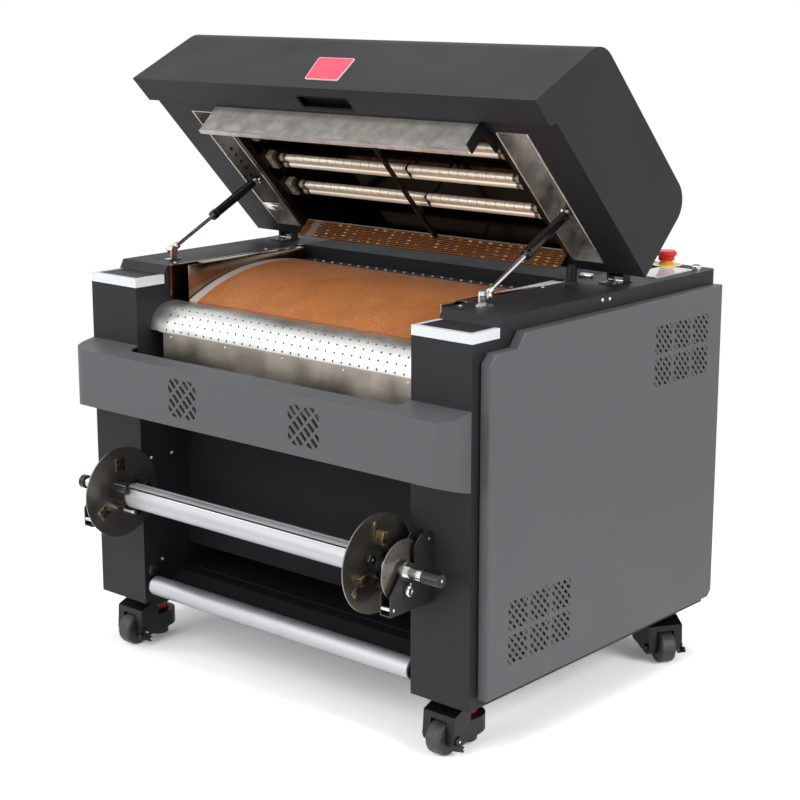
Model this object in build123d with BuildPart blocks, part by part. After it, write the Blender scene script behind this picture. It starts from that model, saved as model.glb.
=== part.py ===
from build123d import *
from math import atan2, cos, degrees, hypot, radians, sin
import os

# Powder shaker dryer. Millimetres, +X to the operator's right, +Y to the rear, +Z up.
# The origin is on the floor, in the middle of the whole machine's box.

# Body
body_width = 950
body_depth = 745
body_height = 667
column_width = 130
column_depth = 72
cap_drop = 17
cap_slope_run = 9
light_height = 17
light_band = 10
cavity_depth = 121
film_slot_low = 56
film_slot_high = 100
film_slot_depth = 180
rear_deck_start = 455
rear_corner_round = 14

# Side panels
panel_thickness = 20
panel_gap = 2.5
panel_seat_inset = 8
panel_front = 20
panel_rear_margin = 12
panel_bottom = 18
panel_top = 640
panel_step_low = 599
panel_step_mid = 615
panel_step_front = 35.5
panel_step_mid_end = 93.5
panel_step_rear = 113
panel_edge_round = 3
panel_corner_clip = 12

# Apron across the front
apron_reach = 62
apron_back_low = 384
apron_back_high = 522
apron_front_low = 401
apron_front_high = 510.5
apron_wall = 4
apron_end_radius = 40
apron_cut_reach = 29
apron_cut_radius = 22
apron_seam = 0.4

# Vent grilles: slots one way and bars the other way in rounded cells
vent_sheet = 3
vent_pocket = 15
vent_cell_width = 54
vent_cell_height = 52
vent_cell_gap = 8.5
vent_cell_round = 5
vent_slot_width = 5.3
vent_slot_pitch = 10.9
vent_bar_width = 4.5
vent_bar_pitch = 15.4
vent_high_from_rear = 150
vent_high = 535
vent_low_behind = 165.5
vent_low = 124
vent_columns = 3
vent_rows = 2
apron_vent_width = 74
apron_vent_height = 72
apron_vent_round = 3
apron_vent_side = 154
apron_slot_width = 7
apron_slot_pitch = 13.2
apron_bar_width = 5.5
apron_bar_pitch = 23.9

# Conveyor
belt_width = 630
belt_front = 108
belt_rear = 430
belt_front_height = 600
belt_crest_rise = 52
belt_crest_behind = 289
belt_rear_rise = 40
belt_thickness = 2
belt_drop = 40
bed_clearance = 0.3
belt_shaft_diameter = 20
belt_shaft_inset = 20
belt_floor_room = 20
oven_wall_thickness = 3
oven_wall_height = 67
oven_wall_front = 84
cover_radius = 49
cover_front = 34
cover_below_belt = 2.5
cover_sheet = 2
cover_flange = 18
plate_offset = 11
plate_side_margin = 23
plate_bottom = 440
rear_strip_width = 24
rear_strip_sheet = 2
rear_strip_side_gap = 6

# Lower tray and guide roller
tray_front = 46
tray_front_height = 16
tray_crest = 92
tray_crest_height = 50
tray_sheet = 3
roller_diameter = 38
roller_behind_face = 20
roller_height = 36
roller_end_gap = 7
roller_pin_diameter = 12
roller_pin_entry = 25
roller_wall = 3
hub_length = 12
hub_lip = 4
running_fit = 0.05

# Take-up
take_up_reach = 62
take_up_height = 247
disc_diameter = 175
disc_thickness = 2.5
disc_left = 332
disc_right = 324
tube_diameter = 48
tube_bore = 40
shaft_diameter = 20
shaft_left_end = 446
shaft_right_end = 465
tube_groove_width = 7
tube_groove_depth = 2.5
tube_left_end = 296
chuck_diameter = 60
chuck_spigot = 22
chuck_rib_count = 12
chuck_rib_radius = 3
chuck_ring_diameter = 52
chuck_ring_length = 17
bushing_near = 346
bushing_length = 6
bushing_diameter = 28
right_grip_diameter = 23
right_grip_length = 36
left_knob_diameter = 26
left_knob_length = 13
grip_wall = 3
brake_disc_diameter = 108
brake_disc_thickness = 2
brake_disc_position = 381
bracket_inner_plane = 370.5
bracket_outer_plane = 391.5
bracket_sheet = 2.5
bracket_reach = 106.5
bracket_low = 178
bracket_nose = 213
bracket_high = 304
bracket_top_reach = 28.6
bracket_top_slope = 17
seat_radius = 17
collar_overhang = 1

# Lid, drawn closed and then opened about its hinge
lid_open_angle = 46.3
lid_width = 985
lid_gap = 5
lid_front = 6
lid_rear = 479
lid_top = 855
lid_lip_run = 61
lid_lip_slope_run = 10
lid_lip_drop = 16
handle_length = 124
handle_width = 28
handle_round = 4
handle_behind_face = 45
lid_front_lean = 64
lid_front_round = 50
lid_rear_round = 45
lid_sheet = 3
lid_rim = 77
lid_window_front = 110
lid_window_rear = 453
channel_width = 68
channel_depth = 43
channel_lip = 5
liner_sheet = 2
rail_depth = 14
rail_width = 12
reflector_depth = 90
reflector_sheet = 2
heater_count = 3
heater_pitch = 81
heater_width = 33
heater_depth = 15
heater_web = 9
heater_height = 34
holder_length = 15
holder_width = 38
holder_depth = 20
holder_round = 4
flap_position = 92
flap_hem = 8
flap_low = 608
flap_sheet = 2
flap_side_gap = 10
hinge_behind_face = 492.3
hinge_height = 686
hinge_pin_diameter = 8
knuckle_radius = 9
hinge_block_width = 40
hinge_block_centre = 421.5
hinge_ear = 5
hinge_base_sheet = 2.5
hinge_base_front = 455
hinge_base_rear = 512
hinge_leaf_sheet = 3
hinge_leaf_top = 715
side_gap = 0.5

# Gas springs
spring_side = 393
spring_foot_behind_face = 136
spring_foot_height = 687
spring_head_behind_face = 375.5
spring_head_height = 806
cylinder_diameter = 18
cylinder_length = 128
cylinder_neck = 16
cylinder_neck_diameter = 9
cylinder_end_wall = 12
rod_length = 150
rod_diameter = 8
spring_eye_diameter = 16
spring_eye_width = 8
spring_pin_diameter = 6
spring_plate = 4
spring_foot_base = 30
spring_foot_sheet = 3
spring_pin_end = 2
head_clearance = 6
head_stud_gap = 2

# Castors
castor_height = 100
castor_side = 72
castor_end = 80
castor_offset = 62
wheel_diameter = 62
wheel_width = 32
wheel_side_gap = 2
wheel_room = 3
wheel_round = 6
axle_diameter = 10
fork_width = 70
fork_top = 94
fork_plate = 14
fork_front_low = 76
fork_front_reach = 72
fork_nose_radius = 13
fork_band_low = 30
fork_band_high = 58
fork_belly_drop = 6
fork_window_front = 28
stem_diameter = 16
swivel_washer_diameter = 28
swivel_play = 0.3
pad_diameter = 42
pad_room = 2
pad_lift = 8
pad_top = 61
ring_diameter = 42
ring_height = 10
ring_grips = 16
ring_grip_depth = 1.5
rear_castor_turn = 57

# Controls on the rear deck
plate_width = 63
plate_length = 125
plate_thickness = 2
plate_centre_side = 419.5
plate_centre_from_rear = 110.5
stop_side = 383
stop_from_rear = 33
key_side = 450
key_from_rear = 33
stop_label_diameter = 60
stop_label_thickness = 1.2
stop_collar_diameter = 30
stop_collar_height = 7
stop_core_diameter = 24
stop_core_height = 13
stop_stem_diameter = 16
stop_stem_low = 9.2
stop_bore_low = 4
stop_travel_room = 4.7
stop_skirt_diameter = 31
stop_skirt_low = 11.6
stop_skirt_fit = 0.4
stop_flare_diameter = 40
stop_flare_low = 22.5
stop_flare_high = 25
stop_crown_diameter = 34
stop_head_top = 29.8
key_diameter = 22
key_height = 8

# Conduit to the lid
conduit_diameter = 20
conduit_side = 372
conduit_behind = 415
conduit_rise = 36
conduit_nut_diameter = 28
conduit_nut_height = 8

# Working values
half_width = body_width / 2
inner_half = half_width - column_width
front = -(body_depth - take_up_reach - disc_diameter / 2) / 2
base_z = castor_height
deck_z = base_z + body_height
cap_z = deck_z - cap_drop
light_z = cap_z - light_height
belt_crest_height = belt_front_height + belt_crest_rise
belt_rear_height = belt_front_height + belt_rear_rise
oven_floor_height = belt_front_height - belt_drop - belt_floor_room
cover_top = belt_front_height - cover_below_belt


def behind(distance):
    return front + distance


def above(height):
    return base_z + height


def box_part(x0, x1, y0, y1, z0, z1):
    with BuildPart() as block:
        with BuildSketch(Plane.XY.offset(z0)):
            with Locations(((x0 + x1) / 2, (y0 + y1) / 2)):
                Rectangle(x1 - x0, y1 - y0)
        extrude(amount=z1 - z0)
    return block


def profile_part(points, x0, x1):
    with BuildPart() as bar:
        with BuildSketch(Plane.YZ.offset(x0)):
            with BuildLine():
                Polyline(*points, close=True)
            make_face()
        extrude(amount=x1 - x0)
    return bar


def rod_part(x0, x1, y, z, radius, bore=0):
    with BuildPart() as rod:
        with BuildSketch(Plane.YZ.offset(x0)):
            with Locations((y, z)):
                Circle(radius)
                if bore:
                    Circle(bore, mode=Mode.SUBTRACT)
        extrude(amount=x1 - x0)
    return rod


def save(piece, label):
    piece.part.label = label
    export_step(piece.part, f"parts/{label}.step")


os.makedirs("parts", exist_ok=True)

# Side cabinets: one folded housing each side, from the front column to the rear
cabinet_profile = [
    (behind(0), base_z),
    (behind(0), cap_z),
    (behind(column_depth), cap_z),
    (behind(column_depth + cap_slope_run), deck_z),
    (behind(body_depth), deck_z),
    (behind(body_depth), base_z),
]
for side, name in ((-1, "left"), (1, "right")):
    x0 = min(side * inner_half, side * half_width)
    x1 = max(side * inner_half, side * half_width)
    middle = (x0 + x1) / 2
    with BuildPart() as cabinet:
        with BuildSketch(Plane.YZ.offset(x0)):
            with BuildLine():
                Polyline(*cabinet_profile, close=True)
            make_face()
        extrude(amount=column_width)
        with BuildSketch(Plane.XY.offset(light_z)):
            with Locations((middle, behind(column_depth / 2))):
                Rectangle(column_width, column_depth)
            with Locations((middle, behind((column_depth + light_band) / 2))):
                Rectangle(column_width - 2 * light_band, column_depth - light_band, mode=Mode.SUBTRACT)
        extrude(amount=light_height, mode=Mode.SUBTRACT)
        upright = cabinet.edges().filter_by(Axis.Z).group_by(Axis.Y)[-1]
        fillet(upright.sort_by(Axis.X)[-1 if side > 0 else 0], radius=rear_corner_round)
        with BuildSketch(Plane.YZ.offset(side * inner_half)):
            with Locations((behind(roller_behind_face), above(roller_height))):
                Circle(roller_pin_diameter / 2)
        extrude(amount=side * roller_pin_entry, mode=Mode.SUBTRACT)
    save(cabinet, f"{name}_cabinet")

with BuildPart() as cap_lights:
    for side in (-1, 1):
        middle = side * (inner_half + column_width / 2)
        with BuildSketch(Plane.XY.offset(light_z)):
            with Locations((middle, behind(column_depth / 2))):
                Rectangle(column_width, column_depth)
            with Locations((middle, behind((column_depth + light_band) / 2))):
                Rectangle(column_width - 2 * light_band, column_depth - light_band, mode=Mode.SUBTRACT)
        extrude(amount=light_height)
save(cap_lights, "cap_lights")

# Centre housing behind the film cavity, with the slot that the film comes out of
with BuildPart() as centre_housing:
    with BuildSketch(Plane.YZ.offset(-inner_half)):
        with BuildLine():
            Polyline(
                (behind(cavity_depth), above(0)),
                (behind(cavity_depth), above(film_slot_low - tray_sheet)),
                (behind(cavity_depth + film_slot_depth), above(film_slot_low - tray_sheet)),
                (behind(cavity_depth + film_slot_depth), above(film_slot_high)),
                (behind(cavity_depth), above(film_slot_high)),
                (behind(cavity_depth), above(oven_floor_height)),
                (behind(rear_deck_start), above(oven_floor_height)),
                (behind(rear_deck_start), deck_z),
                (behind(body_depth), deck_z),
                (behind(body_depth), above(0)),
                close=True,
            )
        make_face()
    extrude(amount=2 * inner_half)
save(centre_housing, "centre_housing")

# Sloped tray under the film slot
with BuildPart() as lower_tray:
    with BuildSketch(Plane.YZ.offset(-inner_half)):
        with BuildLine():
            outer_fold = Polyline(
                (behind(tray_front), above(0)),
                (behind(tray_front), above(tray_front_height)),
                (behind(tray_crest), above(tray_crest_height)),
                (behind(cavity_depth), above(tray_crest_height)),
            )
            offset(outer_fold, amount=tray_sheet, side=Side.RIGHT, kind=Kind.INTERSECTION)
        make_face()
    extrude(amount=2 * inner_half)
save(lower_tray, "lower_tray")

# Grey side panels with a stepped top edge
panel_points = [
    (behind(panel_front), above(panel_bottom)),
    (behind(panel_front), above(panel_step_low)),
    (behind(panel_step_front), above(panel_step_mid)),
    (behind(panel_step_mid_end), above(panel_step_mid)),
    (behind(panel_step_rear), above(panel_top)),
    (behind(body_depth - panel_rear_margin), above(panel_top)),
    (behind(body_depth - panel_rear_margin), above(panel_bottom + panel_corner_clip)),
    (behind(body_depth - panel_rear_margin - panel_corner_clip), above(panel_bottom)),
]
vent_places = [
    (behind(body_depth - vent_high_from_rear), above(vent_high)),
    (behind(vent_low_behind), above(vent_low)),
]
vent_width = vent_columns * vent_cell_width + (vent_columns - 1) * vent_cell_gap
vent_length = vent_rows * vent_cell_height + (vent_rows - 1) * vent_cell_gap


def vent_cell(width, height, corner, slot_width, slot_pitch, bar_width, bar_pitch):
    reach = width + height
    with BuildSketch() as cell:
        slot_count = int(reach / slot_pitch / 2)
        for index in range(-slot_count, slot_count + 1):
            step = index * slot_pitch * cos(radians(45))
            with Locations((step, step)):
                Rectangle(reach, slot_width, rotation=-45)
        bar_count = int(reach / bar_pitch / 2)
        for index in range(-bar_count, bar_count + 1):
            step = index * bar_pitch * cos(radians(45))
            with Locations((step, -step)):
                Rectangle(reach, bar_width, rotation=45, mode=Mode.SUBTRACT)
        RectangleRounded(width, height, corner, mode=Mode.INTERSECT)
    return cell.sketch


panel_cell = vent_cell(
    vent_cell_width,
    vent_cell_height,
    vent_cell_round,
    vent_slot_width,
    vent_slot_pitch,
    vent_bar_width,
    vent_bar_pitch,
)
panel_face = half_width + panel_gap + panel_thickness
for side, name in ((-1, "left"), (1, "right")):
    with BuildPart() as panel:
        with BuildSketch(Plane.YZ.offset(side * half_width)):
            with BuildLine():
                Polyline(*panel_points, close=True)
            make_face()
            offset(amount=-panel_seat_inset)
        extrude(amount=side * panel_gap)
        with BuildSketch(Plane.YZ.offset(side * (half_width + panel_gap))):
            with BuildLine():
                Polyline(*panel_points, close=True)
            make_face()
        extrude(amount=side * panel_thickness)
        outer = panel.faces().sort_by(Axis.X)[-1 if side > 0 else 0]
        fillet(outer.edges(), radius=panel_edge_round)
        with BuildSketch(Plane.YZ.offset(side * panel_face)):
            with Locations(*vent_places):
                Rectangle(vent_width, vent_length)
        extrude(amount=-side * vent_pocket, mode=Mode.SUBTRACT)
    save(panel, f"{name}_side_panel")

    with BuildPart() as vents:
        with BuildSketch(Plane.YZ.offset(side * panel_face)):
            with Locations(*vent_places):
                Rectangle(vent_width, vent_length)
        extrude(amount=-side * vent_sheet)
        with BuildSketch(Plane.YZ.offset(side * panel_face)):
            with Locations(*vent_places):
                with GridLocations(
                    vent_cell_width + vent_cell_gap, vent_cell_height + vent_cell_gap, vent_columns, vent_rows
                ):
                    add(panel_cell)
        extrude(amount=-side * vent_sheet, mode=Mode.SUBTRACT)
    save(vents, f"{name}_panel_vents")

# Front apron: a hollow folded fascia that leans in above and below its front face
apron_middle = above((apron_front_low + apron_front_high) / 2)
apron_vent_places = [(-apron_vent_side, apron_middle), (apron_vent_side, apron_middle)]
with BuildPart() as front_apron:
    with BuildSketch(Plane.YZ.offset(-half_width)):
        with BuildLine():
            Polyline(
                (behind(-apron_seam), above(apron_back_low)),
                (behind(-apron_reach), above(apron_front_low)),
                (behind(-apron_reach), above(apron_front_high)),
                (behind(-apron_seam), above(apron_back_high)),
                close=True,
            )
        make_face()
    extrude(amount=body_width)
    ends = front_apron.edges().filter_by(Axis.Z).group_by(Axis.Y)[0]
    fillet(ends, radius=apron_end_radius)
    with BuildSketch(Plane.YZ.offset(-inner_half - column_width / 2)):
        with BuildLine():
            Polyline(
                (behind(0), above(apron_back_low + apron_wall)),
                (behind(-apron_reach + apron_wall), above(apron_front_low + apron_wall)),
                (behind(-apron_reach + apron_wall), above(apron_front_high - apron_wall)),
                (behind(0), above(apron_back_high - apron_wall)),
                close=True,
            )
        make_face()
    extrude(amount=2 * inner_half + column_width, mode=Mode.SUBTRACT)
    with BuildSketch(Plane.XY.offset(above(apron_back_low) - 1)):
        with Locations((0, behind(-apron_cut_reach + apron_reach))):
            RectangleRounded(2 * inner_half, 2 * apron_reach, apron_cut_radius)
    extrude(amount=apron_back_high - apron_back_low + 2, mode=Mode.SUBTRACT)
    with BuildSketch(Plane.XZ.offset(-behind(-apron_reach))):
        with Locations(*apron_vent_places):
            Rectangle(apron_vent_width, apron_vent_height)
    extrude(amount=-apron_wall, mode=Mode.SUBTRACT)
save(front_apron, "front_apron")

apron_cell = vent_cell(
    apron_vent_width,
    apron_vent_height,
    apron_vent_round,
    apron_slot_width,
    apron_slot_pitch,
    apron_bar_width,
    apron_bar_pitch,
)
with BuildPart() as apron_vents:
    with BuildSketch(Plane.XZ.offset(-behind(-apron_reach))):
        with Locations(*apron_vent_places):
            Rectangle(apron_vent_width, apron_vent_height)
    extrude(amount=-apron_wall)
    with BuildSketch(Plane.XZ.offset(-behind(-apron_reach))):
        with Locations(*apron_vent_places):
            add(apron_cell)
    extrude(amount=-apron_wall, mode=Mode.SUBTRACT)
save(apron_vents, "apron_vents")

# Conveyor: an arched bed, a fixed mesh loop round it, and the walls beside it


def arch(inset):
    front_point = (behind(belt_front + inset), above(belt_front_height - inset))
    crest_point = (behind(belt_crest_behind), above(belt_crest_height - inset))
    rear_point = (behind(belt_rear - inset), above(belt_rear_height - inset))
    return front_point, crest_point, rear_point


with BuildPart() as belt_loop:
    with BuildSketch(Plane.YZ.offset(-belt_width / 2)):
        for inset, how in ((0, Mode.ADD), (belt_thickness, Mode.SUBTRACT)):
            front_point, crest_point, rear_point = arch(inset)
            low = above(belt_front_height - belt_drop + inset)
            with BuildLine():
                ThreePointArc(front_point, crest_point, rear_point)
                Polyline(rear_point, (rear_point[0], low), (front_point[0], low), front_point)
            make_face(mode=how)
    extrude(amount=belt_width)
save(belt_loop, "belt_loop")

with BuildPart() as belt_bed:
    with BuildSketch(Plane.YZ.offset(-belt_width / 2)):
        front_point, crest_point, rear_point = arch(belt_thickness + bed_clearance)
        low = above(belt_front_height - belt_drop + belt_thickness + bed_clearance)
        with BuildLine():
            ThreePointArc(front_point, crest_point, rear_point)
            Polyline(rear_point, (rear_point[0], low), (front_point[0], low), front_point)
        make_face()
    extrude(amount=belt_width)
    shaft_reach = inner_half - oven_wall_thickness
    with BuildSketch(Plane.YZ.offset(-shaft_reach)):
        for shaft_behind, belt_above in (
            (belt_front + belt_shaft_inset, belt_front_height),
            (belt_rear - belt_shaft_inset, belt_rear_height),
        ):
            shaft_above = (belt_above + belt_front_height - belt_drop) / 2
            with Locations((behind(shaft_behind), above(shaft_above))):
                Circle(belt_shaft_diameter / 2)
    extrude(amount=2 * shaft_reach)
save(belt_bed, "belt_bed")

oven_wall_middle = inner_half - oven_wall_thickness / 2
with BuildPart() as oven_walls:
    for side in (-1, 1):
        with BuildSketch(Plane.XY.offset(deck_z - oven_wall_height)):
            with Locations((side * oven_wall_middle, behind((oven_wall_front + rear_deck_start) / 2))):
                Rectangle(oven_wall_thickness, rear_deck_start - oven_wall_front)
        extrude(amount=oven_wall_height)
save(oven_walls, "oven_walls")

# Curved infeed cover in front of the belt
cover_axis_y = behind(cover_front + cover_radius)
cover_axis_z = above(cover_top - cover_radius)
with BuildPart() as infeed_cover:
    with BuildSketch(Plane.YZ.offset(-inner_half)):
        with BuildLine():
            outer_r = cover_radius
            inner_r = cover_radius - cover_sheet
            CenterArc((cover_axis_y, cover_axis_z), outer_r, 90, 90)
            CenterArc((cover_axis_y, cover_axis_z), inner_r, 90, 90)
            Line((cover_axis_y - outer_r, cover_axis_z), (cover_axis_y - inner_r, cover_axis_z))
            Polyline(
                (cover_axis_y, cover_axis_z + outer_r),
                (cover_axis_y + cover_flange, cover_axis_z + outer_r),
                (cover_axis_y + cover_flange, cover_axis_z + inner_r),
                (cover_axis_y, cover_axis_z + inner_r),
            )
        make_face()
    extrude(amount=2 * inner_half)
save(infeed_cover, "infeed_cover")

plate_y = behind(cover_front + plate_offset)
front_plate_points = [
    (plate_y, above(plate_bottom)),
    (plate_y, cover_axis_z - cover_sheet),
    (behind(cover_front), cover_axis_z - cover_sheet),
    (behind(cover_front), cover_axis_z),
    (plate_y + cover_sheet, cover_axis_z),
    (plate_y + cover_sheet, above(plate_bottom)),
]
save(
    profile_part(front_plate_points, -inner_half + plate_side_margin, inner_half - plate_side_margin),
    "front_plate",
)
save(
    box_part(
        -inner_half + rear_strip_side_gap,
        inner_half - rear_strip_side_gap,
        behind(rear_deck_start - rear_strip_width),
        behind(rear_deck_start),
        above(belt_rear_height - rear_strip_sheet),
        above(belt_rear_height),
    ),
    "rear_strip",
)

# Lid, drawn in its closed place and then turned open about the hinge
hinge_y = behind(hinge_behind_face)
hinge_z = above(hinge_height)
hinge_axis = Axis((0, hinge_y, hinge_z), (1, 0, 0))
lid_floor = deck_z + lid_gap
lid_lip = lid_floor - lid_lip_drop
window_half = lid_width / 2 - lid_rim
window_middle = behind((lid_window_front + lid_window_rear) / 2)
window_length = lid_window_rear - lid_window_front
rail_outer = window_half - channel_width
rail_inner = rail_outer - rail_width
lid_profile = [
    (behind(lid_front), lid_lip),
    (behind(lid_front + lid_front_lean), above(lid_top)),
    (behind(lid_rear), above(lid_top)),
    (behind(lid_rear), lid_floor),
    (behind(lid_front + lid_lip_run + lid_lip_slope_run), lid_floor),
    (behind(lid_front + lid_lip_run), lid_lip),
]


def opened(piece, label):
    turned = piece.part.rotate(hinge_axis, -lid_open_angle)
    turned.label = label
    export_step(turned, f"parts/{label}.step")


def closed_place(y, z):
    turn = radians(lid_open_angle)
    run = y - hinge_y
    rise = z - hinge_z
    return hinge_y + run * cos(turn) - rise * sin(turn), hinge_z + run * sin(turn) + rise * cos(turn)


with BuildPart() as lid_shell:
    for inset, how in ((0, Mode.ADD), (lid_sheet, Mode.SUBTRACT)):
        with BuildSketch(Plane.YZ.offset(-lid_width / 2 + inset)) as outline:
            with BuildLine():
                Polyline(*lid_profile, close=True)
            make_face()
            fillet(outline.vertices().group_by(Axis.Y)[-1].sort_by(Axis.X)[0], lid_front_round)
            fillet(outline.vertices().group_by(Axis.Y)[-1].sort_by(Axis.X)[-1], lid_rear_round)
            if inset:
                offset(amount=-inset)
        extrude(amount=lid_width - 2 * inset, mode=how)
    with BuildSketch(Plane.XY.offset(lid_floor)):
        with Locations((0, window_middle)):
            Rectangle(2 * window_half, window_length)
    extrude(amount=lid_sheet, mode=Mode.SUBTRACT)
    with BuildSketch(Plane.XY.offset(lid_lip)):
        with Locations((0, behind(handle_behind_face))):
            RectangleRounded(handle_length, handle_width, handle_round)
    extrude(amount=lid_sheet, mode=Mode.SUBTRACT)
opened(lid_shell, "lid_shell")

# Stainless pans in the lid beside the heater chamber, where the gas springs fold away
with BuildPart() as lid_channels:
    for side in (-1, 1):
        with BuildSketch(Plane.XY.offset(lid_floor)):
            with Locations((side * (rail_outer + window_half) / 2, window_middle)):
                Rectangle(channel_width, window_length)
        extrude(amount=channel_depth)
        with BuildSketch(Plane.XY.offset(lid_floor)):
            with Locations((side * (rail_outer + window_half) / 2, window_middle)):
                Rectangle(channel_width - 2 * liner_sheet, window_length - 2 * liner_sheet)
        extrude(amount=channel_depth - liner_sheet, mode=Mode.SUBTRACT)
        with BuildSketch(Plane.XY.offset(lid_floor)):
            with Locations((side * (window_half - channel_lip / 2), window_middle)):
                Rectangle(channel_lip, window_length)
        extrude(amount=liner_sheet)
opened(lid_channels, "lid_channels")

# Heater chamber: black side rails, the reflector over them, twin quartz tubes and their ceramic ends
with BuildPart() as lid_rails:
    with BuildSketch(Plane.XY.offset(lid_floor)):
        rail_middle = (rail_inner + rail_outer) / 2
        with Locations((-rail_middle, window_middle), (rail_middle, window_middle)):
            Rectangle(rail_width, window_length)
    extrude(amount=rail_depth)
opened(lid_rails, "lid_rails")

with BuildPart() as lid_reflector:
    with BuildSketch(Plane.XY.offset(lid_floor)):
        with Locations((0, window_middle)):
            Rectangle(2 * rail_inner, window_length)
    extrude(amount=rail_depth)
    with BuildSketch(Plane.XY.offset(lid_floor + rail_depth)):
        with Locations((0, window_middle)):
            Rectangle(2 * (rail_inner + reflector_sheet), window_length)
    extrude(amount=reflector_depth - rail_depth)
    with BuildSketch(Plane.XY.offset(lid_floor)):
        with Locations((0, window_middle)):
            Rectangle(2 * rail_inner, window_length - 2 * reflector_sheet)
    extrude(amount=reflector_depth - reflector_sheet, mode=Mode.SUBTRACT)
opened(lid_reflector, "lid_reflector")

heater_z = lid_floor + heater_height
heater_half = rail_inner - holder_length
tube_offset = (heater_width - heater_depth) / 2
first_heater = window_middle - (heater_count - 1) / 2 * heater_pitch
heater_places = [(first_heater + index * heater_pitch, heater_z) for index in range(heater_count)]
with BuildPart() as heater_tubes:
    with BuildSketch(Plane.YZ.offset(-heater_half)):
        with Locations(*heater_places):
            with Locations((-tube_offset, 0), (tube_offset, 0)):
                Circle(heater_depth / 2)
            Rectangle(2 * tube_offset, heater_web)
    extrude(amount=2 * heater_half)
opened(heater_tubes, "heater_tubes")

with BuildPart() as heater_holders:
    for start in (-rail_inner, heater_half):
        with BuildSketch(Plane.YZ.offset(start)):
            with Locations(*heater_places):
                RectangleRounded(holder_width, holder_depth, holder_round)
        extrude(amount=holder_length)
opened(heater_holders, "heater_holders")

# Stainless flap that hangs in front of the belt when the lid is down, hemmed at its lower edge
flap_half = inner_half - oven_wall_thickness - flap_side_gap
flap_points = [
    (behind(flap_position), lid_floor),
    (behind(flap_position), above(flap_low)),
    (behind(flap_position + flap_hem), above(flap_low)),
    (behind(flap_position + flap_hem), above(flap_low) + flap_sheet),
    (behind(flap_position) + flap_sheet, above(flap_low) + flap_sheet),
    (behind(flap_position) + flap_sheet, lid_floor),
]
opened(profile_part(flap_points, -flap_half, flap_half), "lid_flap")

# Hinges: leaf and knuckle on the lid, ears, base and pin on the deck
knuckle_length = hinge_block_width - 2 * hinge_ear - 2 * side_gap
leaf_points = [
    (behind(lid_rear), hinge_z - knuckle_radius),
    (behind(lid_rear), above(hinge_leaf_top)),
    (behind(lid_rear) + hinge_leaf_sheet, above(hinge_leaf_top)),
    (behind(lid_rear) + hinge_leaf_sheet, hinge_z + knuckle_radius),
    (hinge_y, hinge_z + knuckle_radius),
    (hinge_y, hinge_z - knuckle_radius),
]
with BuildPart() as lid_hinges:
    for side in (-1, 1):
        with BuildSketch(Plane.YZ.offset(side * hinge_block_centre - knuckle_length / 2)):
            with BuildLine():
                Polyline(*leaf_points, close=True)
            make_face()
            with Locations((hinge_y, hinge_z)):
                Circle(knuckle_radius)
                Circle(hinge_pin_diameter / 2 + running_fit, mode=Mode.SUBTRACT)
        extrude(amount=knuckle_length)
opened(lid_hinges, "lid_hinges")

with BuildPart() as hinge_blocks:
    for side in (-1, 1):
        block_start = side * hinge_block_centre - hinge_block_width / 2
        for ear_start in (block_start, block_start + hinge_block_width - hinge_ear):
            with BuildSketch(Plane.YZ.offset(ear_start)):
                with Locations((hinge_y, hinge_z)):
                    Circle(knuckle_radius)
                with Locations((hinge_y, (hinge_z + deck_z) / 2)):
                    Rectangle(2 * knuckle_radius, hinge_z - deck_z)
            extrude(amount=hinge_ear)
        with BuildSketch(Plane.YZ.offset(block_start)):
            with Locations((hinge_y, hinge_z)):
                Circle(hinge_pin_diameter / 2)
        extrude(amount=hinge_block_width)
        with BuildSketch(Plane.XY.offset(deck_z)):
            with Locations((side * hinge_block_centre, behind((hinge_base_front + hinge_base_rear) / 2))):
                RectangleRounded(hinge_block_width, hinge_base_rear - hinge_base_front, hinge_ear)
        extrude(amount=hinge_base_sheet)
save(hinge_blocks, "hinge_blocks")

# Gas springs: a foot bracket on each cabinet, a rod, a cylinder and a bracket in the lid
spring_foot = (behind(spring_foot_behind_face), above(spring_foot_height))
spring_head = (behind(spring_head_behind_face), above(spring_head_height))
spring_run = spring_head[0] - spring_foot[0]
spring_rise = spring_head[1] - spring_foot[1]
spring_length = hypot(spring_run, spring_rise)
spring_way = Vector(0, spring_run, spring_rise).normalized()
eye_radius = spring_eye_diameter / 2
foot_ear = spring_side - spring_eye_width / 2 - side_gap - spring_plate
foot_base_width = spring_side + spring_eye_width / 2 + spring_pin_end - foot_ear
head_plate = spring_side - spring_eye_width / 2 - head_clearance - spring_plate


def along_spring(side, distance):
    origin = Vector(side * spring_side, *spring_foot) + spring_way * distance
    return Plane(origin=origin, x_dir=(1, 0, 0), z_dir=spring_way)


with BuildPart() as spring_feet:
    for side in (-1, 1):
        with BuildSketch(Plane.YZ.offset(side * foot_ear)):
            with Locations(spring_foot):
                Circle(eye_radius)
            with Locations((spring_foot[0], (spring_foot[1] + deck_z) / 2)):
                Rectangle(spring_eye_diameter, spring_foot[1] - deck_z)
        extrude(amount=side * spring_plate)
        with BuildSketch(Plane.YZ.offset(side * foot_ear)):
            with Locations(spring_foot):
                Circle(spring_pin_diameter / 2)
        extrude(amount=side * foot_base_width)
        with BuildSketch(Plane.XY.offset(deck_z)):
            with Locations((side * (foot_ear + foot_base_width / 2), spring_foot[0])):
                Rectangle(foot_base_width, spring_foot_base)
        extrude(amount=spring_foot_sheet)
save(spring_feet, "spring_feet")

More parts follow.
